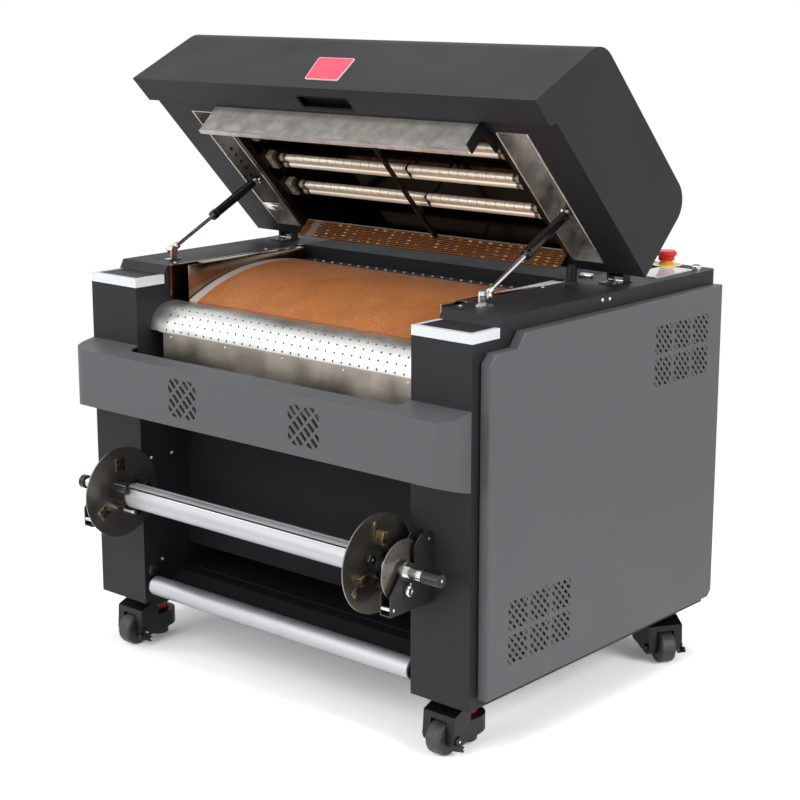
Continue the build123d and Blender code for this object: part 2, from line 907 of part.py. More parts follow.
for side, name in ((-1, "left"), (1, "right")):
    with BuildPart() as spring_rod:
        with BuildSketch(Plane.YZ.offset(side * spring_side - spring_eye_width / 2)):
            with Locations(spring_foot):
                Circle(eye_radius)
        extrude(amount=spring_eye_width)
        with BuildSketch(along_spring(side, 0)):
            Circle(rod_diameter / 2)
        extrude(amount=rod_length)
        with BuildSketch(Plane.YZ.offset(side * spring_side - spring_eye_width / 2)):
            with Locations(spring_foot):
                Circle(spring_pin_diameter / 2 + running_fit)
        extrude(amount=spring_eye_width, mode=Mode.SUBTRACT)
    save(spring_rod, f"{name}_spring_rod")

    mouth = spring_length - cylinder_neck - cylinder_length
    with BuildPart() as spring_cylinder:
        with BuildSketch(along_spring(side, mouth)):
            Circle(cylinder_diameter / 2)
        extrude(amount=cylinder_length)
        with BuildSketch(along_spring(side, mouth)):
            Circle(rod_diameter / 2 + running_fit)
        extrude(amount=cylinder_length - cylinder_end_wall, mode=Mode.SUBTRACT)
        with BuildSketch(along_spring(side, spring_length - cylinder_neck)):
            Circle(cylinder_neck_diameter / 2)
        extrude(amount=cylinder_neck)
        with BuildSketch(Plane.YZ.offset(side * spring_side - spring_eye_width / 2)):
            with Locations(spring_head):
                Circle(eye_radius)
        extrude(amount=spring_eye_width)
        with BuildSketch(Plane.YZ.offset(side * spring_side - spring_eye_width / 2)):
            with Locations(spring_head):
                Circle(spring_pin_diameter / 2 + running_fit)
        extrude(amount=spring_eye_width, mode=Mode.SUBTRACT)
    save(spring_cylinder, f"{name}_spring_cylinder")

head_closed = closed_place(*spring_head)
pan_ceiling = lid_floor + channel_depth - liner_sheet
with BuildPart() as spring_heads:
    for side in (-1, 1):
        with BuildSketch(Plane.YZ.offset(side * head_plate)):
            with Locations(head_closed):
                Circle(eye_radius)
            with Locations((head_closed[0], (head_closed[1] + pan_ceiling) / 2)):
                Rectangle(spring_eye_diameter, pan_ceiling - head_closed[1])
        extrude(amount=side * spring_plate)
        with BuildSketch(Plane.YZ.offset(side * head_plate)):
            with Locations(head_closed):
                Circle(spring_pin_diameter / 2)
        extrude(amount=side * (spring_plate + head_clearance - head_stud_gap))
opened(spring_heads, "spring_heads")

# Take-up: folded brackets with an open seat, a shaft, a tube between two discs, and a brake disc
take_up_y = behind(-take_up_reach)
take_up_z = above(take_up_height)
bracket_near = bracket_inner_plane - bracket_sheet / 2
bracket_far = bracket_outer_plane + bracket_sheet / 2


def turned_profile(points):
    with BuildSketch(Plane.XZ.offset(-take_up_y)) as profile:
        with BuildLine():
            Polyline(*[(x, take_up_z + radius) for x, radius in points], close=True)
        make_face()
    return profile.sketch


for side, name in ((-1, "left"), (1, "right")):
    with BuildPart() as bracket:
        with BuildSketch(Plane.YZ.offset(side * bracket_near)):
            with BuildLine():
                seat_front = (take_up_y - seat_radius, take_up_z)
                seat_rear = (take_up_y + seat_radius, take_up_z)
                ThreePointArc(seat_rear, (take_up_y, take_up_z - seat_radius), seat_front)
                Polyline(
                    seat_front,
                    (behind(-bracket_reach), above(bracket_nose)),
                    (behind(-bracket_reach), above(bracket_low)),
                    (behind(0), above(bracket_low)),
                    (behind(0), above(bracket_high)),
                    (behind(-bracket_top_reach), above(bracket_high)),
                    (seat_rear[0], above(bracket_high - bracket_top_slope)),
                    seat_rear,
                )
            make_face()
        extrude(amount=side * (bracket_far - bracket_near))
        with BuildSketch(Plane.YZ.offset(side * (bracket_near + bracket_sheet))):
            with Locations((behind(-bracket_reach - bracket_sheet), above(bracket_low + bracket_sheet))):
                Rectangle(bracket_reach, bracket_high - bracket_low, align=Align.MIN)
        extrude(amount=side * (bracket_far - bracket_near - 2 * bracket_sheet), mode=Mode.SUBTRACT)
    save(bracket, f"{name}_take_up_bracket")

shaft_radius = shaft_diameter / 2
shaft_low = -shaft_left_end + grip_wall
shaft_high = shaft_right_end - grip_wall
with BuildPart() as take_up_shaft:
    with BuildSketch(Plane.YZ.offset(shaft_low)):
        with Locations((take_up_y, take_up_z)):
            Circle(shaft_radius)
    extrude(amount=shaft_high - shaft_low)
    for plane_x in (-bracket_outer_plane, -bracket_inner_plane, bracket_inner_plane, bracket_outer_plane):
        with BuildSketch(Plane.YZ.offset(plane_x - bracket_sheet / 2 - collar_overhang)):
            with Locations((take_up_y, take_up_z)):
                Circle(seat_radius - running_fit)
        extrude(amount=bracket_sheet + 2 * collar_overhang)
save(take_up_shaft, "take_up_shaft")

disc_left_face = -disc_left + disc_thickness / 2
disc_right_face = disc_right - disc_thickness / 2
disc_right_back = disc_right + disc_thickness / 2
with BuildPart() as take_up_tube:
    with BuildSketch(Plane.YZ.offset(-tube_left_end)):
        with Locations((take_up_y, take_up_z)):
            Circle(tube_diameter / 2)
            Circle(tube_bore / 2, mode=Mode.SUBTRACT)
        with Locations((take_up_y, take_up_z + tube_diameter / 2)):
            Rectangle(tube_groove_width, 2 * tube_groove_depth, mode=Mode.SUBTRACT)
    extrude(amount=disc_right_face + tube_left_end)
save(take_up_tube, "take_up_tube")

with BuildPart() as take_up_discs:
    disc_left_back = -disc_left - disc_thickness / 2
    for disc_start, bore in ((disc_left_back, shaft_radius), (disc_right_face, tube_bore / 2)):
        with BuildSketch(Plane.YZ.offset(disc_start)):
            with Locations((take_up_y, take_up_z)):
                Circle(disc_diameter / 2)
                Circle(bore, mode=Mode.SUBTRACT)
        extrude(amount=disc_thickness)
save(take_up_discs, "take_up_discs")

# Ribbed chuck, ring chuck and the grips at the shaft's ends
with BuildPart() as take_up_chucks:
    chuck_left = [
        (disc_left_face, shaft_radius),
        (disc_left_face, chuck_diameter / 2),
        (-tube_left_end, chuck_diameter / 2),
        (-tube_left_end, tube_bore / 2),
        (-tube_left_end + chuck_spigot, tube_bore / 2),
        (-tube_left_end + chuck_spigot, shaft_radius),
    ]
    chuck_right = [
        (disc_right_face - chuck_spigot, shaft_radius),
        (disc_right_face - chuck_spigot, tube_bore / 2),
        (disc_right_back, tube_bore / 2),
        (disc_right_back, chuck_ring_diameter / 2),
        (disc_right_back + chuck_ring_length, chuck_ring_diameter / 2),
        (disc_right_back + chuck_ring_length, shaft_radius),
    ]
    knob_left = [
        (-shaft_left_end, 0),
        (-shaft_left_end, left_knob_diameter / 2),
        (-shaft_left_end + left_knob_length, left_knob_diameter / 2),
        (-shaft_left_end + left_knob_length, shaft_radius),
        (shaft_low, shaft_radius),
        (shaft_low, 0),
    ]
    grip_right = [
        (shaft_right_end, 0),
        (shaft_right_end, right_grip_diameter / 2),
        (shaft_right_end - right_grip_length, right_grip_diameter / 2),
        (shaft_right_end - right_grip_length, shaft_radius),
        (shaft_high, shaft_radius),
        (shaft_high, 0),
    ]
    for points in (chuck_left, chuck_right, knob_left, grip_right):
        add(turned_profile(points))
        revolve(axis=Axis((0, take_up_y, take_up_z), (1, 0, 0)))
    with BuildSketch(Plane.YZ.offset(disc_left_face)):
        with Locations((take_up_y, take_up_z)):
            with PolarLocations(chuck_diameter / 2, chuck_rib_count):
                Circle(chuck_rib_radius)
    extrude(amount=-tube_left_end - disc_left_face, mode=Mode.SUBTRACT)
save(take_up_chucks, "take_up_chucks")

save(
    rod_part(
        bushing_near, bushing_near + bushing_length, take_up_y, take_up_z, bushing_diameter / 2, shaft_radius
    ),
    "shaft_bushing",
)
save(
    rod_part(
        brake_disc_position - brake_disc_thickness / 2,
        brake_disc_position + brake_disc_thickness / 2,
        take_up_y,
        take_up_z,
        brake_disc_diameter / 2,
        shaft_radius,
    ),
    "brake_disc",
)

# Guide roller low between the columns, on pins that stand in the cabinets
roller_y = behind(roller_behind_face)
roller_z = above(roller_height)
roller_half = inner_half - roller_end_gap
roller_bore = roller_diameter / 2 - roller_wall
roller_end = roller_half - hub_lip
save(rod_part(-roller_end, roller_end, roller_y, roller_z, roller_diameter / 2, roller_bore), "guide_roller")
with BuildPart() as roller_hubs:
    for side in (-1, 1):
        for reach, radius in ((hub_lip, roller_diameter / 2), (hub_length, roller_bore)):
            with BuildSketch(Plane.YZ.offset(side * roller_half)):
                with Locations((roller_y, roller_z)):
                    Circle(radius)
                    Circle(roller_pin_diameter / 2 + running_fit, mode=Mode.SUBTRACT)
            extrude(amount=-side * reach)
save(roller_hubs, "roller_hubs")

with BuildPart() as roller_pins:
    for side in (-1, 1):
        with BuildSketch(Plane.YZ.offset(side * (inner_half + roller_pin_entry))):
            with Locations((roller_y, roller_z)):
                Circle(roller_pin_diameter / 2)
        extrude(amount=-side * (roller_pin_entry + roller_end_gap + hub_length))
save(roller_pins, "roller_pins")

# Levelling castors: a stem with a pad and a red ring, and a fork that swivels round it
castor_x = half_width - castor_side
castors = [
    ("front_left", -castor_x, behind(castor_end), -90),
    ("front_right", castor_x, behind(castor_end), -90),
    ("rear_left", -castor_x, behind(body_depth - castor_end), rear_castor_turn - 90),
    ("rear_right", castor_x, behind(body_depth - castor_end), rear_castor_turn - 90),
]
stem_places = [(x, y) for name, x, y, heading in castors]
with BuildPart() as castor_stems:
    for low, high, diameter in (
        (pad_lift, pad_top, pad_diameter),
        (pad_top, base_z, stem_diameter),
        (fork_top + swivel_play, base_z, swivel_washer_diameter),
    ):
        with BuildSketch(Plane.XY.offset(low)):
            with Locations(*stem_places):
                Circle(diameter / 2)
        extrude(amount=high - low)
save(castor_stems, "castor_stems")

with BuildPart() as castor_rings:
    for place in stem_places:
        with BuildSketch(Plane.XY.offset(pad_top)):
            with Locations(place):
                Circle(ring_diameter / 2)
                Circle(stem_diameter / 2, mode=Mode.SUBTRACT)
                with PolarLocations(ring_diameter / 2, ring_grips):
                    Circle(ring_grip_depth, mode=Mode.SUBTRACT)
        extrude(amount=ring_height)
save(castor_rings, "castor_rings")

wheel_radius = wheel_diameter / 2
slot_width = wheel_width + 2 * wheel_side_gap
slot_rear = castor_offset - wheel_radius - wheel_room
fork_profile = [
    (castor_offset, wheel_radius - fork_nose_radius),
    (castor_offset - wheel_radius, fork_band_low - fork_belly_drop),
    (-fork_width / 2, fork_band_low),
    (-fork_width / 2, fork_band_high),
    (fork_window_front, fork_band_high),
    (fork_window_front, fork_top - fork_plate),
    (-swivel_washer_diameter / 2, fork_top - fork_plate),
    (-swivel_washer_diameter / 2, fork_top),
    (fork_window_front, fork_top),
    (fork_front_reach, fork_front_low),
    (castor_offset + fork_nose_radius, wheel_radius),
]

for name, x, y, heading in castors:
    forward = Vector(cos(radians(heading)), sin(radians(heading)), 0)
    across = Vector(sin(radians(heading)), -cos(radians(heading)), 0)
    stem = Vector(x, y, 0)
    plan = Plane(origin=stem, x_dir=forward, z_dir=(0, 0, 1))
    side_of_fork = Plane(origin=stem - across * (fork_width / 2), x_dir=forward, z_dir=across)
    side_of_slot = Plane(origin=stem - across * (slot_width / 2), x_dir=forward, z_dir=across)
    side_of_wheel = Plane(origin=stem - across * (wheel_width / 2), x_dir=forward, z_dir=across)
    with BuildPart() as fork:
        with BuildSketch(side_of_fork):
            with BuildLine():
                Polyline(*fork_profile, close=True)
            make_face()
            with Locations((castor_offset, wheel_radius)):
                Circle(fork_nose_radius)
        extrude(amount=fork_width)
        with BuildSketch(plan):
            Circle(fork_width / 2)
            with Locations((castor_offset / 2 + fork_nose_radius, 0)):
                Rectangle(castor_offset + 2 * fork_nose_radius, fork_width)
        extrude(amount=castor_height, mode=Mode.INTERSECT)
        with BuildSketch(side_of_slot):
            with Locations((castor_offset, wheel_radius)):
                Circle(wheel_radius + wheel_room)
            with Locations((slot_rear, 0)):
                Rectangle(castor_offset, wheel_radius, align=Align.MIN)
            with Locations((castor_offset, 0)):
                Rectangle(wheel_radius, wheel_diameter + wheel_room, align=Align.MIN)
        extrude(amount=slot_width, mode=Mode.SUBTRACT)
        with BuildSketch(plan):
            Circle(stem_diameter / 2 + running_fit)
        extrude(amount=castor_height, mode=Mode.SUBTRACT)
        with BuildSketch(plan):
            Circle(pad_diameter / 2 + pad_room)
        extrude(amount=fork_top - fork_plate, mode=Mode.SUBTRACT)
        with BuildSketch(side_of_fork):
            with Locations((castor_offset, wheel_radius)):
                Circle(axle_diameter / 2)
        extrude(amount=fork_width)
    save(fork, f"{name}_castor_fork")

    with BuildPart() as wheel:
        with BuildSketch(side_of_wheel):
            with Locations((castor_offset, wheel_radius)):
                Circle(wheel_radius)
        extrude(amount=wheel_width)
        fillet(wheel.edges(), radius=wheel_round)
        with BuildSketch(side_of_wheel):
            with Locations((castor_offset, wheel_radius)):
                Circle(axle_diameter / 2 + running_fit)
        extrude(amount=wheel_width, mode=Mode.SUBTRACT)
    save(wheel, f"{name}_castor_wheel")

# Controls on the rear right of the deck
plate_top = deck_z + plate_thickness
stop_place = (stop_side, behind(body_depth - stop_from_rear))
key_place = (key_side, behind(body_depth - key_from_rear))
with BuildPart() as control_plate:
    with BuildSketch(Plane.XY.offset(deck_z)):
        with Locations((plate_centre_side, behind(body_depth - plate_centre_from_rear))):
            Rectangle(plate_width, plate_length)
    extrude(amount=plate_thickness)
save(control_plate, "control_plate")

with BuildPart() as stop_base:
    with BuildSketch(Plane.XY.offset(plate_top)):
        with Locations(stop_place):
            Circle(stop_label_diameter / 2)
    extrude(amount=stop_label_thickness)
    for height, diameter in (
        (stop_collar_height, stop_collar_diameter),
        (stop_core_height, stop_core_diameter),
    ):
        with BuildSketch(Plane.XY.offset(deck_z)):
            with Locations(stop_place):
                Circle(diameter / 2)
        extrude(amount=height)
    with BuildSketch(Plane.XY.offset(deck_z + stop_bore_low)):
        with Locations(stop_place):
            Circle(stop_stem_diameter / 2 + running_fit)
    extrude(amount=stop_core_height, mode=Mode.SUBTRACT)
save(stop_base, "stop_base")

skirt_inside = stop_core_diameter / 2 + stop_skirt_fit
skirt_ceiling = stop_core_height + stop_travel_room
stop_points = [
    (0, stop_stem_low),
    (stop_stem_diameter / 2, stop_stem_low),
    (stop_stem_diameter / 2, skirt_ceiling),
    (skirt_inside, skirt_ceiling),
    (skirt_inside, stop_skirt_low),
    (stop_skirt_diameter / 2, stop_skirt_low),
    (stop_skirt_diameter / 2, skirt_ceiling),
    (stop_flare_diameter / 2, stop_flare_low),
    (stop_flare_diameter / 2, stop_flare_high),
    (stop_crown_diameter / 2, stop_head_top),
    (0, stop_head_top),
]
with BuildPart() as stop_head:
    with BuildSketch(Plane.XZ.offset(-stop_place[1])):
        with BuildLine():
            head_outline = [(stop_place[0] + radius, deck_z + height) for radius, height in stop_points]
            Polyline(*head_outline, close=True)
        make_face()
    revolve(axis=Axis((*stop_place, 0), (0, 0, 1)))
save(stop_head, "stop_head")

with BuildPart() as key_switch:
    with BuildSketch(Plane.XY.offset(deck_z)):
        with Locations(key_place):
            Circle(key_diameter / 2)
    extrude(amount=key_height)
    chamfer(key_switch.edges().group_by(Axis.Z)[-1], length=1)
save(key_switch, "key_switch")

# Conduit that brings the wires up beside the lid
conduit_place = (conduit_side, behind(conduit_behind))
with BuildPart() as conduit:
    for height, diameter in ((conduit_nut_height, conduit_nut_diameter), (conduit_rise, conduit_diameter)):
        with BuildSketch(Plane.XY.offset(deck_z)):
            with Locations(conduit_place):
                Circle(diameter / 2)
        extrude(amount=height)
save(conduit, "conduit")
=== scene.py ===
import bpy
import bmesh
from math import atan2, cos, pi, radians, sin
from mathutils import Matrix, Vector


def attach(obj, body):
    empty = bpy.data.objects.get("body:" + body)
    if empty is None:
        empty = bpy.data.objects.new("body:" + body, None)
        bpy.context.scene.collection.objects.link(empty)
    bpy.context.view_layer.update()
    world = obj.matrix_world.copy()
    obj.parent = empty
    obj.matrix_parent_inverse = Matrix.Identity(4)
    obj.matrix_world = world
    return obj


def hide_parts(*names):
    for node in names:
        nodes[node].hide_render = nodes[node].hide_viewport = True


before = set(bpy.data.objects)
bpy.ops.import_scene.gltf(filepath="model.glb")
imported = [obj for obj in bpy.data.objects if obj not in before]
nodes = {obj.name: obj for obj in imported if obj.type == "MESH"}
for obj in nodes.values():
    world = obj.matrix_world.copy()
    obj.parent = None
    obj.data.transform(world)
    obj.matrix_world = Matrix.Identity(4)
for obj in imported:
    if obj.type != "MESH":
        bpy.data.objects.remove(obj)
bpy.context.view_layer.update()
print("stage: frame loaded")

mm = 0.001
machine = {"front": -0.29775, "base": 0.1,  # metres: the columns' front face, and the base plate
           "deck": 667, "innerWall": 345, "outerWall": 475}  # millimetres from there
lid = {"floor": 672, "hinge": (0, 0.19455, 0.786), "open": 46.3, "windowFront": 110, "windowRear": 453}
hinge = Vector(lid["hinge"])
lidTurn = (Matrix.Translation(hinge) @ Matrix.Rotation(radians(-lid["open"]), 4, "X")
           @ Matrix.Translation(-hinge))
windowMiddle = (lid["windowFront"] + lid["windowRear"]) / 2


def at(x, behind, above):
    # millimetres across, behind the front face and above the base plate
    return Matrix.Translation((x * mm, machine["front"] + behind * mm, machine["base"] + above * mm))


def inLid(x, behind, rise):
    # a place in the closed lid, turned open with it
    return lidTurn @ at(x, behind, lid["floor"] + rise)


def moved(x, y, z):
    # a step in millimetres along a piece's own axes
    return Matrix.Translation((x * mm, y * mm, z * mm))


toRight = Matrix.Rotation(radians(90), 4, "Y")
toLeft = Matrix.Rotation(radians(-90), 4, "Y")
toRear = Matrix.Rotation(radians(-90), 4, "X")
toFront = Matrix.Rotation(radians(90), 4, "X")
toFloor = Matrix.Rotation(radians(180), 4, "X")
sides = ((-1, "left", toRight, toLeft), (1, "right", toLeft, toRight))  # sign, name, inwards, outwards


# Colours and nodes

def linear(hexColour):
    channels = [int(hexColour[i:i + 2], 16) / 255 for i in (1, 3, 5)]
    return [c / 12.92 if c <= 0.04045 else ((c + 0.055) / 1.055) ** 2.4 for c in channels] + [1.0]


def addNode(tree, kind, inputs=None, **settings):
    node = tree.nodes.new(kind)
    for name, value in settings.items():
        setattr(node, name, value)
    for key, value in (inputs or {}).items():
        if isinstance(value, bpy.types.NodeSocket):
            tree.links.new(value, node.inputs[key])
        else:
            node.inputs[key].default_value = value
    return node


def newMaterial(name):
    material = bpy.data.materials.new(name)
    material.use_nodes = True
    tree = material.node_tree
    tree.nodes.clear()
    return material, tree, addNode(tree, "ShaderNodeTexCoord").outputs["Object"]


def patches(tree, place, size, detail, span, reach=(0.0, 1.0)):
    # soft patches, their size in millimetres: the span of the noise becomes the reach of the value
    noise = addNode(tree, "ShaderNodeTexNoise", {"Vector": place, "Scale": 1 / (size * mm), "Detail": detail})
    return addNode(tree, "ShaderNodeMapRange", {
        "Value": noise.outputs["Fac"], "From Min": span[0], "From Max": span[1],
        "To Min": reach[0], "To Max": reach[1]}).outputs["Result"]


def wave(tree, position, pitch):
    # a wave along one axis, its pitch in millimetres
    turn = addNode(tree, "ShaderNodeMath", {0: position, 1: 2 * pi / (pitch * mm)}, operation="MULTIPLY")
    return addNode(tree, "ShaderNodeMath", {0: turn.outputs[0]}, operation="SINE").outputs[0]


def closedLidAxes(tree, place):
    # X, Y and Z as they are with the lid shut, so that a pattern keeps to the lid's own lines
    turnBack = Matrix.Rotation(radians(lid["open"]), 3, "X")
    closed = addNode(tree, "ShaderNodeMapping", {
        "Vector": place, "Location": hinge - turnBack @ hinge, "Rotation": (radians(lid["open"]), 0, 0)})
    return addNode(tree, "ShaderNodeSeparateXYZ", {"Vector": closed.outputs["Vector"]}).outputs


def powderCoat(name, colour, roughness, specular, grain=1.2):
    # Baked polyester powder on steel: an even matt sheen, broken by a fine pebble
    material, tree, place = newMaterial(name)
    pebble = addNode(tree, "ShaderNodeTexNoise", {"Vector": place, "Scale": 1 / (grain * mm), "Detail": 2.0})
    sheen = patches(tree, place, 160, 3.0, (0.3, 0.7), (roughness - 0.04, roughness + 0.06))
    bump = addNode(tree, "ShaderNodeBump", {
        "Height": pebble.outputs["Fac"], "Strength": 0.08, "Distance": 0.15 * mm})
    coat = addNode(tree, "ShaderNodeBsdfPrincipled", {
        "Base Color": linear(colour), "Roughness": sheen, "Specular IOR Level": specular,
        "Normal": bump.outputs["Normal"]})
    addNode(tree, "ShaderNodeOutputMaterial", {"Surface": coat.outputs[0]})
    return material


def wornFinish(name, colour, roughness, along, cloudy=0.12, smear=70, stretch=60, metallic=1.0):
    # Rolled, ground or rubbed surface: fine lines along one axis, under the clouded marks of heat and hands
    material, tree, place = newMaterial(name)
    lineScale = [1 / (0.5 * mm)] * 3
    lineScale[along] /= stretch
    lines = addNode(tree, "ShaderNodeMapping", {"Vector": place, "Scale": lineScale})
    grain = addNode(tree, "ShaderNodeTexNoise", {
        "Vector": lines.outputs["Vector"], "Scale": 1.0, "Detail": 3.0})
    cloud = addNode(tree, "ShaderNodeTexNoise", {
        "Vector": place, "Scale": 1 / (smear * mm), "Detail": 4.0, "Roughness": 0.6})
    sheen = addNode(tree, "ShaderNodeMapRange", {
        "Value": cloud.outputs["Fac"], "From Min": 0.3, "From Max": 0.7,
        "To Min": roughness - 0.05, "To Max": roughness + 0.08})
    shade = addNode(tree, "ShaderNodeMapRange", {
        "Value": cloud.outputs["Fac"], "From Min": 0.35, "From Max": 0.62,
        "To Min": 1 - cloudy, "To Max": 1.0})
    tone = addNode(tree, "ShaderNodeMix", {
        0: shade.outputs["Result"], 6: linear("#191714"), 7: linear(colour)}, data_type="RGBA")
    bump = addNode(tree, "ShaderNodeBump", {
        "Height": grain.outputs["Fac"], "Strength": 0.1, "Distance": 0.1 * mm})
    surface = addNode(tree, "ShaderNodeBsdfPrincipled", {
        "Base Color": tone.outputs[2], "Metallic": metallic, "Roughness": sheen.outputs["Result"],
        "Normal": bump.outputs["Normal"]})
    addNode(tree, "ShaderNodeOutputMaterial", {"Surface": surface.outputs[0]})
    return material


def mouldedPlastic(name, colour, roughness, specular=0.5, spark=0.6, depth=0.08):
    # Moulded plastic: one even colour, with the mould's fine spark texture in its sheen
    material, tree, place = newMaterial(name)
    grain = addNode(tree, "ShaderNodeTexNoise", {"Vector": place, "Scale": 1 / (spark * mm), "Detail": 1.0})
    sheen = patches(tree, place, 25, 2.0, (0.3, 0.7), (roughness, roughness + 0.08))
    bump = addNode(tree, "ShaderNodeBump", {
        "Height": grain.outputs["Fac"], "Strength": depth, "Distance": 0.1 * mm})
    plastic = addNode(tree, "ShaderNodeBsdfPrincipled", {
        "Base Color": linear(colour), "Roughness": sheen, "Specular IOR Level": specular,
        "Normal": bump.outputs["Normal"]})
    addNode(tree, "ShaderNodeOutputMaterial", {"Surface": plastic.outputs[0]})
    return material


charcoal = powderCoat("charcoalPowderCoat", "#252528", 0.52, 0.2)  # near black with a broad, dull sheen
# Painted shade: the charcoal coat made darker and less glossy for the hollows and for the deck under the lid
shadedCavityCoat = powderCoat("charcoalPowderCoatPaintedShade", "#1d1d20", 0.58, 0.08)  # the same, in dark hollows
greyCoat = powderCoat("greyPowderCoat", "#58595b", 0.46, 0.3)  # smoother grey, lighter where a lamp grazes it
blackCoat = powderCoat("blackPowderCoat", "#101011", 0.42, 0.3, grain=1.0)  # small black fittings
bracketCoat = powderCoat("bracketPowderCoat", "#242426", 0.42, 0.4, grain=1.0)  # stands off the black
stripCoat = powderCoat("stripPowderCoat", "#4b4c50", 0.4, 0.45)  # half gloss, a light line behind the belt
blackNylon = mouldedPlastic("blackNylon", "#0e0e0f", 0.34, 0.4)  # black with a small, soft highlight
# Black plastic made darker and duller than the others: painted shade of the cup's hollow
cupBlackAndShade = mouldedPlastic("handleCupPaintedShade", "#040404", 0.5, 0.1)  # dull, so that the cup reads as a hollow
castorNylon = mouldedPlastic("castorNylon", "#0a0a0b", 0.36, 0.3, spark=1.5, depth=0.2)  # grainy sheen
springEnamel = mouldedPlastic("springEnamel", "#08080a", 0.2, 0.5, spark=1.0, depth=0.02)  # one sharp line
opalAcrylic = mouldedPlastic("opalAcrylic", "#e4e8ea", 0.3, 0.4, spark=2.0, depth=0.02)  # milky, cool white
whiteAcetal = mouldedPlastic("whiteAcetal", "#dcdcd8", 0.4)  # waxy white
redPlastic = mouldedPlastic("redButtonPlastic", "#d8111d", 0.25, 0.5, spark=1.0, depth=0.02)  # glossy red
glossPlate = mouldedPlastic("glossWhitePlate", "#e2e4e6", 0.05, 0.6, spark=4.0, depth=0.01)  # mirrors the lid
badgePink = mouldedPlastic("badgePink", "#e8405f", 0.3, 0.4, spark=2.0, depth=0.02)  # smooth face
badgeEdge = mouldedPlastic("badgeEdge", "#f3d9dc", 0.3, 0.4, spark=2.0, depth=0.02)  # pale cut edge round it
steatite = mouldedPlastic("steatiteCeramic", "#9a9080", 0.55, 0.3, spark=1.0, depth=0.15)  # chalky, browned
coverSteel = wornFinish("satinCoverSteel", "#dcdddb", 0.36, 0, cloudy=0.06)  # pale, even satin
# Painted reflection: the front plate's warm brownish tint
plateSteel = wornFinish("brushedPlateSteel", "#bfb6ab", 0.36, 0, cloudy=0.2)  # greyer, clouded by heat
# Painted reflection: polished steel given the belt's brown in its base colour
ovenSteelBeltReflection = wornFinish("polishedOvenSteelPaintedReflection", "#8f7a66", 0.16, 1, cloudy=0.25)  # takes up the belt's brown
# Painted shade and reflection: the polished reflector given a dark brown base colour for the shaded belt that
# it mirrors
reflectorSteelPaintedShade = wornFinish("polishedReflectorPaintedShade", "#564c43", 0.07, 0, cloudy=0.35, smear=120)  # a mirror
# Near white: bright steel on the small plates and inserts, and painted highlights on the hems and the slot's
# edge
brightSteelAndPaintedHighlight = wornFinish("brightHemAndPaintedHighlight", "#f6f3ee", 0.28, 0, cloudy=0.03, metallic=0.85)  # white edges
satinAluminium = wornFinish("satinAluminium", "#b4b4b8", 0.46, 0, cloudy=0.05, metallic=0.85)  # a soft band
groundRod = wornFinish("groundRodSteel", "#dedede", 0.12, 0, cloudy=0.05, stretch=2)  # hard bright lines
brassPad = wornFinish("brassPad", "#a8987c", 0.3, 2, cloudy=0.3, smear=8, stretch=3)  # dull, yellowish metal
zincSteel = wornFinish("zincPlatedSteel", "#d3d0cd", 0.22, 2, cloudy=0.2, smear=12, stretch=3)  # patchy
# Mill finish with dull smears of powder, blotched brushed steel, zinc lifted near white so that the screw
# heads stay bright dots in shade, a painted highlight, and a grey tread with dark marks from the floor
panSteel = wornFinish("smearedPanSteel", "#cfcac3", 0.2, 1, cloudy=0.6, smear=55, metallic=0.7)
flapSteel = wornFinish("brushedFlapSteel", "#cdc8c0", 0.4, 0, cloudy=0.3, smear=30, metallic=0.45)
screwZincAndPaintedGlint = wornFinish("screwZincAndPaintedGlint", "#e9e7e3", 0.3, 2, cloudy=0.1, smear=4, stretch=1, metallic=0.45)
wheelTread = wornFinish("wornPolyurethane", "#3a3936", 0.5, 0, cloudy=0.7, smear=9, stretch=1, metallic=0.0)


def discFinish(colour, roughness, anisotropy):
    # Nickel-plated disc, lathe-turned: the rings pull a lamp out into a fan of light
    material, tree, place = newMaterial("turnedNickel")
    rings = addNode(tree, "ShaderNodeTangent", direction_type="RADIAL", axis="X")
    cloud = addNode(tree, "ShaderNodeTexNoise", {"Vector": place, "Scale": 1 / (40 * mm), "Detail": 3.0})
    tone = addNode(tree, "ShaderNodeMix", {
        0: cloud.outputs["Fac"], 6: linear("#6c6761"), 7: linear(colour)}, data_type="RGBA")
    metal = addNode(tree, "ShaderNodeBsdfPrincipled", {
        "Base Color": tone.outputs[2], "Metallic": 0.9, "Roughness": roughness, "Anisotropic": anisotropy,
        "Tangent": rings.outputs["Tangent"]})
    addNode(tree, "ShaderNodeOutputMaterial", {"Surface": metal.outputs[0]})
    return material


turnedNickel = discFinish("#958f87", 0.28, 0.75)


